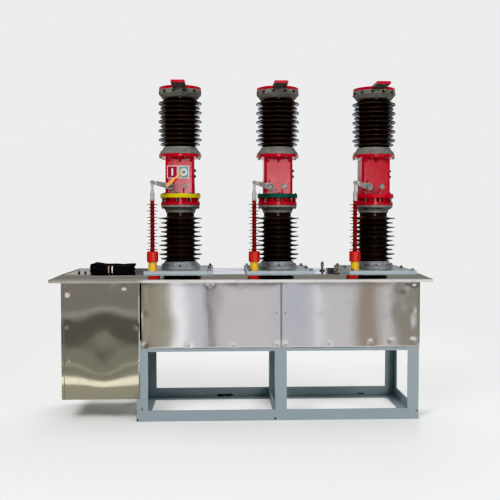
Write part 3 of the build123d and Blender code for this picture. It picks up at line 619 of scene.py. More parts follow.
def liftingEyes(c):
    low, high = span("lifting_eyes")
    form = Form()
    places = ((low.x + c["inX"], high.y - c["inY"]), (high.x - c["inX"], low.y + c["inY"]))
    bar = [(c["ringR"] + c["barR"] * cos(a), c["barR"] * sin(a)) for a in ring(c["barSides"])]
    for (x, y), turn in zip(places, c["turns"]):
        form.lathe(c["collar"], c["sides"], shift(x, y, low.z))
        facing = (sin(radians(turn)), -cos(radians(turn)), 0)
        form.lathe(bar, c["ringSides"], spun(facing, (x, y, low.z + c["middle"])), closed=True)
    form.make("liftingEyes", "boltZinc", "eye_steel", ["lifting_eyes"], 50)


# Control cable: from the gland along the roof into a tied hank, one cord with a bare end. Its heights are
# above the roof; "sway" and "heave" are the scales and the seed of its irregular lay.
cable = {
    "diameter": 13.0,
    "lead": [(-991, -128, 22), (-945, -128, 22), (-900, -147, 16), (-855, -177, 10), (-830, -190, 8)],
    "middle": (-915, -250), "straight": 107.0, "width": 53.0, "pitch": 13.6, "rise": 12.8, "lowest": 7.0,
    "layers": 5, "turns": 3, "pointsPerTurn": 18, "innermost": 0.7, "firstAngle": 60.0, "squareness": 1.9,
    "climbPoints": 5, "wander": 6.0, "twist": 0.13, "sway": (0.011, 0.016, 7.7), "heave": (0.009, 0.02, 3.3),
    "hump": {"x": -1022.0, "reach": 30.0, "rise": 13.0},
    "waist": {"x": -920.0, "reach": 34.0, "squeeze": 0.14},
    "tail": [(-812, -262, 60), (-790, -272, 62), (-765, -279, 66), (-746, -284, 71)],
}


def settled(x, y, z, c):
    # a strand's point in the bundle as it was thrown down: humped at one end, tied in the middle, twisted
    middleX, middleY = c["middle"]
    share = (z - c["lowest"]) / ((c["layers"] - 1) * c["rise"])
    hump, waist, sway, heave = c["hump"], c["waist"], c["sway"], c["heave"]
    squeeze = 1 - waist["squeeze"] * exp(-((x - waist["x"]) / waist["reach"]) ** 2)
    y = middleY + (y - middleY) * squeeze
    y += c["wander"] * noise.noise(Vector((x * sway[0], z * sway[1], sway[2])))
    z = c["lowest"] + (z - c["lowest"]) * squeeze
    z += hump["rise"] * share * exp(-((x - hump["x"]) / hump["reach"]) ** 2)
    z += (y - middleY) * c["twist"] * (x - middleX) / c["straight"] * share
    z += c["wander"] * share * noise.noise(Vector((x * heave[0], y * heave[1], heave[2])))
    return x, y, max(c["lowest"], z)


def hankPoints(c):
    # flat oval turns, clockwise from above: each layer winds inward or outward, then climbs to the next
    points = []
    count = c["turns"] * c["pointsPerTurn"]
    for layer in range(c["layers"]):
        for i in range(count):
            turn = i / c["pointsPerTurn"]
            inward = turn if layer % 2 == 0 else c["turns"] - turn
            half = c["width"] - c["pitch"] * min(inward, c["turns"] - c["innermost"])
            angle = radians(c["firstAngle"] - 360 * turn)
            end = max(-1.0, min(1.0, c["squareness"] * cos(angle)))
            climb = c["rise"] * max(0.0, (i - count + c["climbPoints"]) / c["climbPoints"])
            points.append(settled(c["middle"][0] + c["straight"] * end + half * cos(angle),
                                  c["middle"][1] + half * sin(angle),
                                  c["lowest"] + c["rise"] * layer + climb, c))
    return points


def cordLength(obj):
    # length of the smooth line, without its thickness
    kept = obj.data.bevel_depth
    obj.data.bevel_depth = 0
    depsgraph = bpy.context.evaluated_depsgraph_get()
    line = bpy.data.meshes.new_from_object(obj.evaluated_get(depsgraph))
    obj.data.bevel_depth = kept
    places = [v.co.copy() for v in line.vertices]
    length = sum((places[a] - places[b]).length for a, b in (e.vertices for e in line.edges))
    bpy.data.meshes.remove(line)
    return length


def controlCable(c):
    curve = bpy.data.curves.new("controlCable", "CURVE")
    curve.dimensions = "3D"
    curve.resolution_u = 5
    curve.bevel_depth = c["diameter"] / 2 * mm
    curve.bevel_resolution = 3
    curve.use_fill_caps = True
    spline = curve.splines.new("NURBS")
    route = [(x * mm, y * mm, (deckZ + z) * mm, 1) for x, y, z in c["lead"] + hankPoints(c) + c["tail"]]
    spline.points.add(len(route) - 1)
    for point, place in zip(spline.points, route):
        point.co = place
    spline.order_u = 3
    spline.use_endpoint_u = True
    curve.materials.append(finishes["cableSheath"])
    obj = addObject("controlCable", curve)
    length = cordLength(obj)
    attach(obj, "base")
    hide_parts("cable_hank", "cable_lead")
    cableTies(tieLook, c)
    print("cable length", round(length, 3), "m")


tieLook = {
    "ties": [{"name": "brownTie", "x": -934.0, "width": 11.0, "finish": "tieBrown"},
             {"name": "paleTie", "x": -909.0, "width": 9.0, "finish": "tieWhite"}],
    "inset": 5.0, "thick": 1.6, "corner": 16.0, "cornerSteps": 5, "bottom": (0.6, 0.2),
    "looseEnd": [(-934, -311, 20), (-931, -317, 12), (-928, -320, 3)], "looseR": 2.2,
}


def cableTies(c, hank):
    # rounded loops round the hank, their inner and outer outlines in Y and Z
    made = []
    inner, outer = c["bottom"]
    thick, r, steps = c["thick"], c["corner"], c["cornerSteps"]
    half = hank["width"] + hank["diameter"] / 2 - c["inset"]
    high = hank["lowest"] + (hank["layers"] - 1) * hank["rise"] + hank["diameter"] / 2 - c["inset"]
    inside = roundedOutline(-half, half, inner, high, r, steps)
    outside = roundedOutline(-half - thick, half + thick, outer, high + thick, r + thick, steps)
    for tie in c["ties"]:
        x0, x1 = tie["x"] - tie["width"] / 2, tie["x"] + tie["width"] / 2
        loops = [[(x, hank["middle"][1] + y, deckZ + z) for y, z in loop]
                 for x, loop in ((x0, outside), (x1, outside), (x1, inside), (x0, inside))]
        form = Form().rows(loops, lids=False, closed=True)
        if tie["name"] == "brownTie":
            form.bar([(x, y, deckZ + z) for x, y, z in c["looseEnd"]], c["looseR"], 10)
        made.append(form.make(tie["name"], tie["finish"], "cable_black", sharp=40))
    return made


liftingEyes(eyeLook)
controlCable(cable)


# Porcelains: sheds that thin out to round rims. "slope" is the share of the way out and of the fall
porcelain = {
    "bodyR": 101.0, "largeR": 160.0, "smallR": 146.5, "pitch": 33.1, "count": 10, "fall": 11.0, "under": 10.0,
    "sides": 96, "rimSteps": 6, "slope": [(0.12, 0.62), (0.40, 0.24), (0.75, 0.06)],
    "lower_porcelains": {"first": 43.0, "neckR": 105.0, "neckHeight": 6.0, "edge": 10.0},
    "upper_porcelains": {"first": 35.0, "neckR": 126.0, "neckHeight": 14.0, "edge": 15.0},
}


def shedPlaces(c, top):
    # height and radius of each shed from the lowest up; large and small in turn, counted from the top
    places = [(top - i * c["pitch"], c["smallR"] if i % 2 else c["largeR"]) for i in range(c["count"])]
    return reversed(places)


def shedRows(c, edge, z, r):
    # half section of one shed from the root of its underside over the rim to the root of its top
    half = edge / 2
    reach = r - half - c["bodyR"]
    rows = [(c["bodyR"], z - half - c["under"])]
    rows += [(c["bodyR"] + share * reach, z - half - drop * c["under"]) for share, drop in c["slope"]]
    for i in range(c["rimSteps"] + 1):
        angle = radians(-90 + 180 * i / c["rimSteps"])
        rows.append((r - half + half * cos(angle), z + half * sin(angle)))
    rows += [(c["bodyR"] + share * reach, z + half + rise * c["fall"])
             for share, rise in reversed(c["slope"])]
    return rows + [(c["bodyR"], z + half + c["fall"])]


def porcelains(node, c):
    own = c[node]
    low, high = span(node)
    profile = [(c["bodyR"] - 3, low.z), (c["bodyR"], low.z + 0.5)]
    for z, r in shedPlaces(c, high.z - own["first"]):
        profile += shedRows(c, own["edge"], z, r)
    neck = high.z - own["neckHeight"]
    profile += [(own["neckR"] - 4, neck), (own["neckR"], neck + 2), (own["neckR"], high.z - 0.3)]
    form = Form()
    for x in poles.values():
        form.lathe(profile, c["sides"], shift(x, 0, 0))
    form.make(node.split("_")[0] + "Porcelains", "brownGlaze", "porcelain_brown", [node], 50)


for node in ("lower_porcelains", "upper_porcelains"):
    porcelains(node, porcelain)


# Rod insulators. Rows of a shed's section: how far out of the core or in from the rim, and height in edges
rodSheds = {
    "coreR": 14.0, "largeR": 43.0, "smallR": 29.0, "pitch": 22.65, "count": 15, "edge": 2.6, "first": 28.0,
    "sides": 56, "endR": 16.5, "endHeight": 9.0, "under": [(0, -1.4), (2, -1.0)],
    "rim": [(1.0, -0.62), (0.35, -0.45), (0.0, 0.0), (0.35, 0.45), (1.0, 0.62)], "over": [(3, 1.9), (0, 2.8)],
}


def rodInsulator(name, c):
    node = "rod_insulator_" + name
    low, high = span(node)
    middle = centre(node)
    core, end, edge = c["coreR"], c["endR"], c["edge"]
    foot, head = low.z + c["endHeight"], high.z - c["endHeight"]
    profile = [(end, low.z), (end, foot - 2), (core, foot)]
    for z, r in shedPlaces(c, high.z - c["first"]):
        profile += [(core + out, z + up * edge) for out, up in c["under"]]
        profile += [(r - inward * edge, z + up * edge) for inward, up in c["rim"]]
        profile += [(core + out, z + up * edge) for out, up in c["over"]]
    profile += [(core, head), (end, head + 2), (end, high.z)]
    form = Form().lathe(profile, c["sides"], shift(middle.x, middle.y, 0))
    form.make("rodInsulator_" + name, "siliconeRed", "rod_silicone", [node], 50, "rod_" + name)


for name in poles:
    rodInsulator(name, rodSheds)
print("insulators made")


# Front covers: thin sheet with folded edges, soft waves, and dimples at its screws. "overFrame" is the
# deepest dent over the frame behind a cover's borders, "deepest" elsewhere
coverLook = {
    "step": 8.0, "fold": 4.0, "foldSteps": 4, "turnIn": 12.0, "sheet": 1.5,
    "wave": 0.45, "waveX": 0.0042, "waveZ": 0.0035, "seed": 3.1, "calmEdge": 60.0, "freeEdge": 12.0,
    "dimple": 0.75, "dimpleReach": 22.0, "deepest": 6.6, "overFrame": 1.9, "frame": 42.0, "frameEdge": 25.0,
}
screwHead = [(20, 0, [(6.0, 0), (6.0, 0.8), (5.58, 1.9), (4.68, 2.8), (3.3, 3.4), (1.8, 3.6), (1.56, 2.4)])]
knob = [(32, 0, [(15, 0), (15, 1.5), (7.44, 3), (6.6, 8), (12, 10), (12, 16), (10.32, 19), (6, 20.5)])]

# sheets as low x, high x, low z; screws and knobs as x, z; dents as x, z, their two reaches and depth
frontCovers = {
    "cabinet": {
        "node": "cabinet_front_cover", "sheets": [(-1237.0, -712.0, 160.0)],
        "screws": [(-1223, 968), (-820, 946), (-1217, 678), (-735, 668), (-1206, 182), (-965, 172),
                   (-727, 176)],
        "knobs": [(-1210, 428), (-732, 422)],
        "dents": [(-1219, 922, 50, 50, 1.9), (-744, 925, 28, 40, 0.9), (-1190, 590, 90, 90, 0.4),
                  (-965, 525, 128, 185, 6.0), (-845, 655, 60, 40, 0.6)],
    },
    "tank": {
        "node": "tank_front_covers", "sheets": [(-704.0, 270.0, 512.0), (278.0, 1245.0, 512.0)],
        "screws": [(-688, 755), (-684, 532), (-372, 530), (-62, 528), (-225, 955), (245, 758), (246, 533),
                   (302, 756), (300, 534), (614, 540), (905, 545), (1052, 556), (1208, 775), (1206, 558),
                   (1212, 968), (1160, 976)],
        "knobs": [],
        "dents": [(-640, 700, 90, 70, 0.9), (-560, 650, 120, 120, 0.7), (-180, 860, 90, 140, 0.9),
                  (350, 700, 60, 50, 1.2), (330, 880, 50, 60, 1.0), (1120, 760, 60, 80, 1.2),
                  (1180, 700, 40, 55, 1.2), (1135, 930, 50, 50, 1.2)],
    },
}


def sheetDepth(x, z, edge, own, c):
    # how far the sheet lies behind its true face at a point, edge being the distance to its nearest fold
    calm = min(1.0, edge / c["calmEdge"])
    calm *= calm * (3 - 2 * calm)
    free = min(1.0, edge / c["freeEdge"])
    depth = c["wave"] * calm * (1 + noise.noise(Vector((x * c["waveX"], c["seed"], z * c["waveZ"]))))
    for dx, dz, reachX, reachZ, amount in own["dents"]:
        depth += amount * free * exp(-((x - dx) / reachX) ** 2 - ((z - dz) / reachZ) ** 2)
    for dx, dz in own["screws"]:
        depth += c["dimple"] * exp(-((x - dx) ** 2 + (z - dz) ** 2) / c["dimpleReach"] ** 2)
    inside = max(0.0, min(1.0, (edge - c["frame"]) / c["frameEdge"]))
    return max(0.0, min(depth, c["overFrame"] + (c["deepest"] - c["overFrame"]) * inside))


def foldedLine(low, high, c):
    # positions across a sheet with its two folds: place on the face, how far the edge has turned in
    first, last = low + c["fold"], high - c["fold"]
    count = max(2, round((last - first) / c["step"]))
    turn = [radians(90 * i / c["foldSteps"]) for i in range(1, c["foldSteps"])]
    line = [(low, c["turnIn"])]
    line += [(first - c["fold"] * sin(a), c["fold"] * (1 - cos(a))) for a in reversed(turn)]
    line += [(first + (last - first) * i / count, 0.0) for i in range(count + 1)]
    line += [(last + c["fold"] * sin(a), c["fold"] * (1 - cos(a))) for a in turn]
    return line + [(high, c["turnIn"])]


def coverSheet(form, x0, x1, z0, z1, faceY, own, c):
    rows = []
    for z, turnZ in foldedLine(z0, z1, c):
        row = []
        for x, turnX in foldedLine(x0, x1, c):
            edge = max(0, min(x - x0, x1 - x, z - z0, z1 - z))
            row.append((x, faceY + max(turnX, turnZ, sheetDepth(x, z, edge, own, c)), z))
        rows.append(row)
    form.rows(rows, lids=False, shut=False)


def frontCover(name, own, c):
    low, high = span(own["node"])
    form = Form()
    for x0, x1, z0 in own["sheets"]:
        coverSheet(form, x0, x1, z0, high.z, low.y, own, c)
    thicken(form.make(name + "FrontCover", "stainlessUpright", "stainless_sheet", [own["node"]], 60),
            c["sheet"])
    screws = Form()
    for x, z in own["screws"]:
        screws.turned(screwHead, spun(front, (x, low.y + c["dimple"], z)))
    for x, z in own["knobs"]:
        screws.turned(knob, spun(front, (x, low.y, z)))
    screws.make(name + "CoverScrews", "screwSteel", "stainless_sheet", sharp=45)


for name, own in frontCovers.items():
    frontCover(name, own, coverLook)
print("covers made")


# Covers at the back and the ends: the same screws as in front, as x: heights behind and heights at the ends
backScrews = {
    "backY": 368.0, "endX": 1255.0, "endY": (-330, 0, 330),
    "back": {-1217: (938, 560, 182), -735: (938, 560, 182), -688: (955,), -684: (740, 532), -215: (955, 532),
             246: (955, 740, 532), 302: (955, 740, 532), 760: (955, 532), 1208: (955, 740, 532)},
    "left": (182, 560, 938), "right": (532, 740, 938),
}


def otherCoverScrews(c):
    form = Form()
    places = [((0, 1, 0), (x, c["backY"], z)) for x, heights in c["back"].items() for z in heights]
    places += [((-1, 0, 0), (-c["endX"], y, z)) for y in c["endY"] for z in c["left"]]
    places += [((1, 0, 0), (c["endX"], y, z)) for y in c["endY"] for z in c["right"]]
    for axis, at in places:
        form.turned(screwHead, spun(axis, at))
    form.make("backAndEndScrews", "screwSteel", "stainless_sheet", sharp=45)


otherCoverScrews(backScrews)


# Fasteners on the poles. Each row is a ring of bolts: metal, node, its low or high end, height from there,
# radius, count, key of the first angle, 1 up or -1 down, size, stud end, turn, washer. Angles are counted
# from +X, and each pole's flanges are turned their own way
poleBolts = {
    "rings": [
        ("bright", "bottom_flanges", 0, 18.0, 133.0, 8, "foot", 1, 12.0, 6, 0, True),
        ("bright", "housing_", 0, 19.0, 134.0, 8, "neck", 1, 10.0, 0, 10, True),
        ("bright", "housing_", 0, 52.0, 134.0, 8, "neck", -1, 10.0, 0, 25, True),
        ("bright", "housing_", 0, 81.0, 134.0, 8, "neck", 1, 10.0, 3, 5, False),
        ("dark", "middle_flanges", 1, -17.0, 134.0, 8, "neck", -1, 9.0, 4, 0, True),
        ("bright", "housing_", 1, -21.0, 145.0, 8, "upper", -1, 10.0, 3, 0, True),
        ("bright", "upper_flanges", 0, 15.0, 139.0, 8, "upper", 1, 10.0, 4, 0, True),
        ("dark", "top_flanges", 1, -26.0, 151.0, 12, "pocket", 1, 10.0, 9, 0, False),
    ],
    "first": {"foot": (0, 0, 0), "neck": (36, 0, 9), "upper": (17, 22.5, 28), "pocket": (15, 15, 15)},
    "studs": {"parts": [(16, 0, [(5.5, 19), (5.5, 52)])], "r": 134.0},
    "bosses": {"parts": [(24, 0, [(12.5, 2), (12.5, 13.5), (11.0, 15)])], "r": 139.0},
    "plate": {"halfX": 215.0, "halfY": 336.0, "size": 14.0, "tip": 5},
}


def poleFasteners(c):
    forms = {"bright": Form(), "dark": Form()}
    bosses = Form()
    for pole, (name, x) in enumerate(poles.items()):
        def around(r, count, key):
            # angle and place of each bolt round this pole
            return [(degrees(a), x + r * cos(a), r * sin(a)) for a in ring(count, c["first"][key][pole])]

        for metal, node, end, rise, r, count, key, way, size, tip, turn, washer in c["rings"]:
            z = span(node + name if node == "housing_" else node)[end].z + rise
            for angle, px, py in around(r, count, key):
                bolt(forms[metal], (px, py, z), (0, 0, way), size, tip, angle + turn, washer)
        for form, part, key, node in ((forms["bright"], c["studs"], "neck", "housing_" + name),
                                      (bosses, c["bosses"], "upper", "upper_flanges")):
            for angle, px, py in around(part["r"], 8, key):
                form.turned(part["parts"], shift(px, py, span(node)[0].z))
        plate = c["plate"]
        for sx in (-1, 1):
            for sy in (-1, 0, 1):
                at = (x + sx * plate["halfX"], sy * plate["halfY"], plateZ)
                bolt(forms["bright"], at, (0, 0, 1), plate["size"], plate["tip"], 20 * sx + 15 * sy)
    forms["bright"].make("poleBolts", "boltZinc", "eye_steel", sharp=30)
    forms["dark"].make("pocketBolts", "boltDark", "flange_grey", sharp=30)
    bosses.make("upperFlangeBosses", "castDark", "flange_grey", sharp=40)


poleFasteners(poleBolts)
print("fasteners made")


# Small fixings on the roof beside the cable gland
deckBolts = {"places": [(-1168, -150), (-1118, -176), (-1076, -60)], "size": 9.0, "tip": 7, "turn": 17}


def deckFixings(c):
    form = Form()
    for i, (x, y) in enumerate(c["places"]):
        bolt(form, (x, y, deckZ), (0, 0, 1), c["size"], c["tip"], c["turn"] * i)
    form.make("deckFixings", "boltDark", "eye_steel", sharp=30)


deckFixings(deckBolts)
print("roof fixings made")


# Turned pieces on the housings and the drives. Places are measured from the middle and the low or high end of
# their node; parts are sides, first angle, profile, and the poles that have them if not all. The crank of
# pole a has a slot where the others have a nut
turnedPieces = [
    {"name": "fillerPlugs", "metal": "boltZinc", "slot": "terminal_metal", "sharp": 30,
     "node": "housing_", "end": 0, "axis": front, "places": [(42, -102, 135)],
     "parts": [(40, 0, [(20, 0), (20, 2), (19, 3)]), (6, 12, [(16.63, 3), (16.63, 10.74), (14.97, 12)]),
               (24, 0, [(8.1, 11), (8.1, 13), (6.48, 14)])]},
    {"name": "sideFittings", "metal": "boltDark", "slot": "flange_grey", "sharp": 40,
     "node": "housing_", "end": 0, "axis": (1, 0, 0), "places": [(105, -60, 208), (105, -60, 250)],
     "parts": [(28, 0, [(12, 0), (12, 5), (10.5, 7), (7.2, 7.5), (7.2, 12), (6, 13)])]},
    {"name": "hubFace_", "metal": "boltZinc", "slot": "crank_metal", "sharp": 35,
     "node": "housing_", "end": 0, "body": "crank_", "axis": front, "places": [(-65, -166.3, 132)],
     "parts": [(48, 0, [(25, 0), (25, 1.0), (23.5, 2.2), (15.5, 2.2), (14.5, 1.6)]),
               (6, 8, [(15.011, 1.6), (15.011, 7.19), (13.51, 8.1)], "bc"),
               (24, 0, [(8.5, 7), (8.5, 10), (7.4, 11)], "bc")]},
    {"name": "pinEnd_", "metal": "boltZinc", "slot": "crank_metal", "sharp": 35,
     "node": "rod_fitting_", "end": 1, "body": "crank_", "axis": front, "places": [(0, -14.3, -16)],
     "parts": [(28, 0, [(9, 0), (9, 1.4), (7.4, 2.4)]), (16, 0, [(3.6, 2.3), (3.6, 5.2), (2.8, 6)])]},
    {"name": "rodNut_", "metal": "leverMetal", "slot": "rod_metal", "sharp": 30,
     "node": "rod_fitting_", "end": 0, "body": "rod_", "axis": (0, 0, 1), "places": [(0, 0, 0)],
     "parts": [(6, 0, [(15.2, 42), (18, 43), (18, 51), (16, 52.5)]),
               (36, 0, [(15.6, 1), (16.6, 2), (16.6, 9), (15.6, 10)])]},
]
hubSlot = {"x": -65.0, "y": -166.3, "z": 132.0, "outline": (-17.0, 17.0, -3.2, 3.2, 3), "depth": (1.7, 2.5),
           "turned": 35.0}


def turnPieces(c):
    form = Form()
    for name in poles:
        middle, end = centre(c["node"] + name), span(c["node"] + name)[c["end"]]
        for x, y, z in c["places"]:
            parts = [part[:3] for part in c["parts"] if name in (*part, "abc")[3]]
            form.turned(parts, spun(c["axis"], (middle.x + x, middle.y + y, end.z + z)))
        if "body" in c:
            form.make(c["name"] + name, c["metal"], c["slot"], sharp=c["sharp"], body=c["body"] + name)
            form = Form()
    if "body" not in c:
        form.make(c["name"], c["metal"], c["slot"], sharp=c["sharp"])


def crankSlot(c):
    turn = Matrix.Rotation(radians(c["turned"]), 4, "Z")
    place = spun(front, (poles["a"] + c["x"], c["y"], span("housing_a")[0].z + c["z"])) @ turn
    # the slot is not cut: a thin dark bar stands on the hub face, its dark finish painted shade for the
    # slot's hollow
    slotShadeBar = Form().prism(roundedOutline(*c["outline"]), *c["depth"], place)
    slotShadeBar.make("hubSlot", "boltDark", "crank_metal", sharp=40, body="crank_a")


for row in turnedPieces:
    turnPieces(row)
crankSlot(hubSlot)
print("housing and drive pieces made")


# Two plates on the first housing: one has a bar, the other a ring, given by their half sizes
signLook = {
    "y": -102.0, "bottom": 192.0, "width": 76.0, "height": 92.0, "left": (-91.5, -8.0), "border": 4.5,
    "corner": 4, "fieldCorner": 2, "plate": (0, 1.2), "field": (1.2, 1.5), "mark": (1.5, 1.8),
    "fields": {"I": "signRed", "O": "signGreen"}, "bar": (6, 26), "ringOut": (24, 27), "ringIn": (14, 17),
}


def positionSigns(c):
    # outlines in X and Y stand upright in X and Z, and their thickness points to -Y
    upright = Matrix(((1, 0, 0, 0), (0, 0, -1, c["y"]), (0, 1, 0, 0), (0, 0, 0, 1)))
    z0 = span("housing_a")[0].z + c["bottom"]
    z1 = z0 + c["height"]
    b, corner = c["border"], c["fieldCorner"]
    low, high = c["mark"]
    white = Form()
    for left, key in zip(c["left"], c["fields"]):
        x0 = poles["a"] + left
        x1 = x0 + c["width"]
        x, z = (x0 + x1) / 2, (z0 + z1) / 2
        white.prism(roundedOutline(x0, x1, z0, z1, c["corner"]), *c["plate"], upright)
        field = Form().prism(roundedOutline(x0 + b, x1 - b, z0 + b, z1 - b, corner), *c["field"], upright)
        field.make("signField_" + key, c["fields"][key], "terminal_red", sharp=40)
        if key == "I":
            barX, barZ = c["bar"]
            white.prism(roundedOutline(x - barX, x + barX, z - barZ, z + barZ, corner), low, high, upright)
        else:
            loops = [[(x + rx * cos(a), z + rz * sin(a), depth) for a in ring(40)] for (rx, rz), depth in
                     ((c["ringOut"], low), (c["ringOut"], high), (c["ringIn"], high), (c["ringIn"], low))]
            white.rows(loops, upright, lids=False)
    white.make("positionSigns", "signWhite", "terminal_red", sharp=40)


positionSigns(signLook)
print("position signs made")


# Studio, in metres: pale floor that fades into a pale backdrop, soft lights, and what steel and glaze
# reflect. In the sky, "...From" and "...To" are the levels of a direction between which one shade turns into
# the next
studio = {
    "floor": {"size": 30.0, "shade": 0.95, "rough": 0.9, "solidTo": 2.3, "goneAt": 5.5},
    "sky": {"backdrop": (0.95, 0.95, 0.95), "aheadFrom": (0.05, -0.25),
            "dark": (0.055, 0.060, 0.050), "open": (5.2, 5.2, 5.2), "openFrom": (-0.066, -0.050),
            "openTo": (0.24, 0.13), "openLow": (0.01, 0.03), "openHigh": (0.50, 0.25),
            "sideLow": (0.30, 0.42), "glare": (10.5, 10.8, 11.0), "glareFrom": (-0.005, -0.025),
            "openAbove": (1.10, 1.13, 1.20), "openFade": (0.045, 0.09),
            "high": (0.82, 0.84, 0.88), "highFrom": (0.80, 0.95),
            "behind": (0.32, 0.31, 0.28), "behindFrom": (0.10, 0.20), "behindLow": (0.80, 0.83, 0.88),
            "leftLow": (0.50, 0.48, 0.45), "leftFrom": (-0.08, -0.16), "deckFrom": (0.045, 0.060),
            "deckBands": [(-0.128, -0.098, 0.006, (0.13, 0.13, 0.14)),
                          (0.143, 0.168, 0.004, (0.06, 0.055, 0.065))],
            "level": (0.10, 0.10, 0.10), "levelFrom": (0.0, -0.02),
            "underBright": (0.62, 0.66, 0.76), "underDark": (0.15, 0.15, 0.16),
            "underFrom": (-0.060, -0.035), "underTo": (0.17, 0.12)},
    "ground": {"half": 8.0, "z": -0.004, "base": (0.200, 0.195, 0.160)},
    "card": {"y": -3.6, "low": -0.35, "high": 1.22, "half": 4.5, "base": (0.49, 0.48, 0.50)},
    "mirrorPower": 1.6,
    "lights": [("keySoft", (-2.6, -5.2, 4.6), (0, 0, 1.2), (3.0, 2.4), 340),
               ("fillSoft", (4.2, -4.6, 2.6), (0, 0, 1.2), (2.2, 3.0), 165),
               ("backSoft", (1.0, 4.8, 4.2), (0, 0, 1.3), (4.0, 2.0), 260)],
}

# bands of the reflected ground: low x, high x, low y, high y, soft edge, colour
groundBands = [
    (-1.85, -0.86, -1.95, -1.66, 0.05, (0.82, 0.77, 0.60)),
    (-1.85, -0.86, -2.62, -2.55, 0.03, (0.40, 0.37, 0.24)),
    (-1.85, -0.86, -1.50, -0.60, 0.10, (0.27, 0.26, 0.20)),
    (-0.80, 2.50, -3.60, -2.20, 0.20, (0.60, 0.59, 0.60)),
    (-8.00, 8.00, 0.60, 8.00, 0.40, (0.62, 0.64, 0.68)),
]

# upright bands of the reflected surroundings: low x, high x, low z, high z, soft edge, colour
cardBands = [
    (-4.50, -1.06, -1.0, 2.00, 0.05, (0.185, 0.176, 0.162)),
    (-4.50, -1.06, 0.02, 0.24, 0.06, (0.105, 0.100, 0.088)),
    (-4.50, -1.06, 0.34, 0.38, 0.03, (0.270, 0.256, 0.242)),
    (-4.50, -1.06, 0.692, 0.78, 0.008, (0.090, 0.085, 0.080)),
    (-4.50, -1.06, 0.735, 0.805, 0.012, (0.720, 0.640, 0.590)),
    (-4.50, -1.06, 0.808, 0.96, 0.008, (0.280, 0.270, 0.255)),
    (-1.04, -0.90, -1.0, 2.00, 0.06, (0.20, 0.185, 0.140)),
    (-0.90, -0.72, -1.0, 2.00, 0.05, (0.30, 0.285, 0.235)),
    (-0.68, -0.42, -1.0, 2.00, 0.03, (0.52, 0.55, 0.60)),
    (-0.68, -0.57, -1.0, 2.00, 0.03, (0.78, 0.79, 0.82)),
    (-0.42, -0.27, -1.0, 2.00, 0.08, (0.49, 0.50, 0.53)),
    (-0.266, -0.214, -1.0, 2.00, 0.006, (0.0, 0.0, 0.0)),
    (-0.10, 0.42, -1.0, 2.00, 0.14, (0.50, 0.47, 0.50)),
    (0.50, 0.80, -1.0, 2.00, 0.10, (0.43, 0.44, 0.49)),
    (0.945, 0.970, -1.0, 2.00, 0.015, (0.74, 0.77, 0.84)),
    (1.43, 1.64, -1.0, 2.00, 0.03, (0.28, 0.235, 0.205)),
    (1.68, 1.80, -1.0, 2.00, 0.04, (0.47, 0.46, 0.46)),
    (1.88, 4.50, -1.0, 2.00, 0.06, (0.245, 0.228, 0.205)),
    (-1.02, 4.50, 0.692, 0.78, 0.008, (0.10, 0.09, 0.09)),
    (-1.02, 4.50, 0.795, 2.00, 0.010, (0.70, 0.69, 0.68)),
]


def flat(name, corners, material, seen):
    # flat part of the studio; seen says whether the camera and soft light see it, or only mirror rays do
    mesh = bpy.data.meshes.new(name)
    mesh.from_pydata(corners, [], [[0, 1, 2, 3]])
    mesh.materials.append(material)
    obj = addObject(name, mesh)
    obj.visible_camera = obj.visible_diffuse = obj.visible_shadow = obj.visible_transmission = seen
    obj.visible_glossy = not seen


def level(half, z):
    return [(-half, -half, z), (half, -half, z), (half, half, z), (-half, half, z)]


def glow(name, base, bands, axes):
    # steady colour for mirror rays, with bands laid over it along two axes
    f = Finish(name, Base_Color=(0, 0, 0), Roughness=1.0, Specular_IOR_Level=0.0,
               Emission_Strength=studio["mirrorPower"])
    for *levels, soft, colour in bands:
        parts = [f.band(f.axis(axis), low, high, soft)
                 for axis, low, high in zip(axes, levels[::2], levels[1::2])]
        base = f.mix(reduce(Sock.__mul__, parts), base, colour)
    return f.set(Emission_Color=base)


def makeFloor(s):
    f = Finish("studioFloor", Roughness=s["rough"], Base_Color=(s["shade"],) * 3)
    away = f.node("VectorMath", {"operation": "LENGTH"}, {0: f.place}, out="Value")
    flat("studioFloor", level(s["size"] / 2, 0), f.set(Alpha=f.ramp(away, s["goneAt"], s["solidTo"])), True)


def makeReflected(ground, card):
    flat("reflectedGround", level(ground["half"], ground["z"]),
         glow("reflectedGround", ground["base"], groundBands, (0, 1)), False)
    half, y, low, high = card["half"], card["y"], card["low"], card["high"]
    flat("reflectedAround", [(-half, y, low), (half, y, low), (half, y, high), (-half, y, high)],
         glow("reflectedAround", card["base"], cardBands, (0, 2)), False)


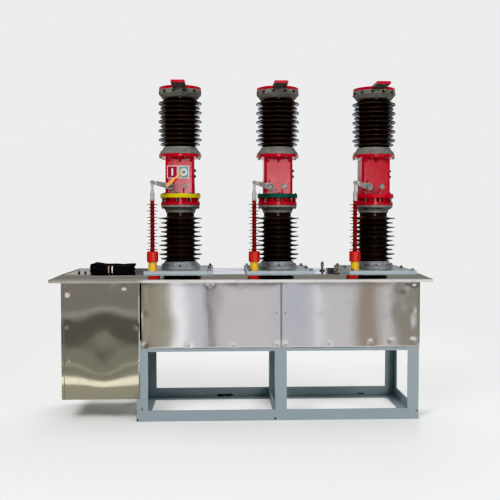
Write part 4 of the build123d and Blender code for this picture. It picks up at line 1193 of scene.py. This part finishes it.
def makeSky(s):
    world = bpy.data.worlds.new("studioSky")
    bpy.context.scene.world = world
    world.use_nodes = True
    f = Shading(world.node_tree, "Generated")
    side, depth, up = f.axis(0), f.axis(1), f.axis(2)
    free = f.ramp(side, *s["openFrom"]).larger(f.ramp(up, *s["sideLow"]))
    free = free * f.ramp(side, *s["openTo"]) * f.ramp(up, *s["openLow"]) * f.ramp(up, *s["openHigh"])
    deck = f.mix(f.ramp(side, *s["leftFrom"]), s["behindLow"], s["leftLow"])
    for low, high, soft, shade in s["deckBands"]:
        deck = f.mix(f.band(side, low, high, soft), deck, shade)
    under = f.mix(f.ramp(side, *s["underFrom"]) * f.ramp(side, *s["underTo"]), s["underDark"],
                  s["underBright"])
    low = f.mix(f.ramp(up, *s["deckFrom"]), f.mix(f.ramp(up, *s["levelFrom"]), s["level"], under), deck)
    back = f.mix(f.ramp(up, *s["behindFrom"]), low, s["behind"])
    bright = f.mix(f.ramp(side, *s["glareFrom"]), s["open"], s["glare"])
    bright = f.mix(f.ramp(up, *s["openFade"]), bright, s["openAbove"])
    shade = f.mix(f.ramp(depth, *s["aheadFrom"]), back, f.mix(free, s["dark"], bright))
    shade = f.mix(f.ramp(up, *s["highFrom"]), shade, s["high"])
    seen = f.node("LightPath", out="Is Camera Ray")
    background = f.node("Background", {}, {"Color": f.mix(seen, shade, s["backdrop"])})
    output = f.tree.nodes.new("ShaderNodeOutputWorld")
    f.tree.links.new(background.socket, output.inputs["Surface"])


def softLight(name, place, aim, size, power):
    data = bpy.data.lights.new(name, "AREA")
    data.shape = "RECTANGLE"
    data.size, data.size_y = size
    data.energy = power
    lamp = addObject(name, data)
    lamp.location = place
    lamp.visible_glossy = False
    lamp.rotation_euler = (Vector(aim) - Vector(place)).to_track_quat("-Z", "Y").to_euler()


makeFloor(studio["floor"])
makeReflected(studio["ground"], studio["card"])
makeSky(studio["sky"])
for light in studio["lights"]:
    softLight(*light)
bpy.context.scene.view_settings.view_transform = "Khronos PBR Neutral"
print("studio and lights made")
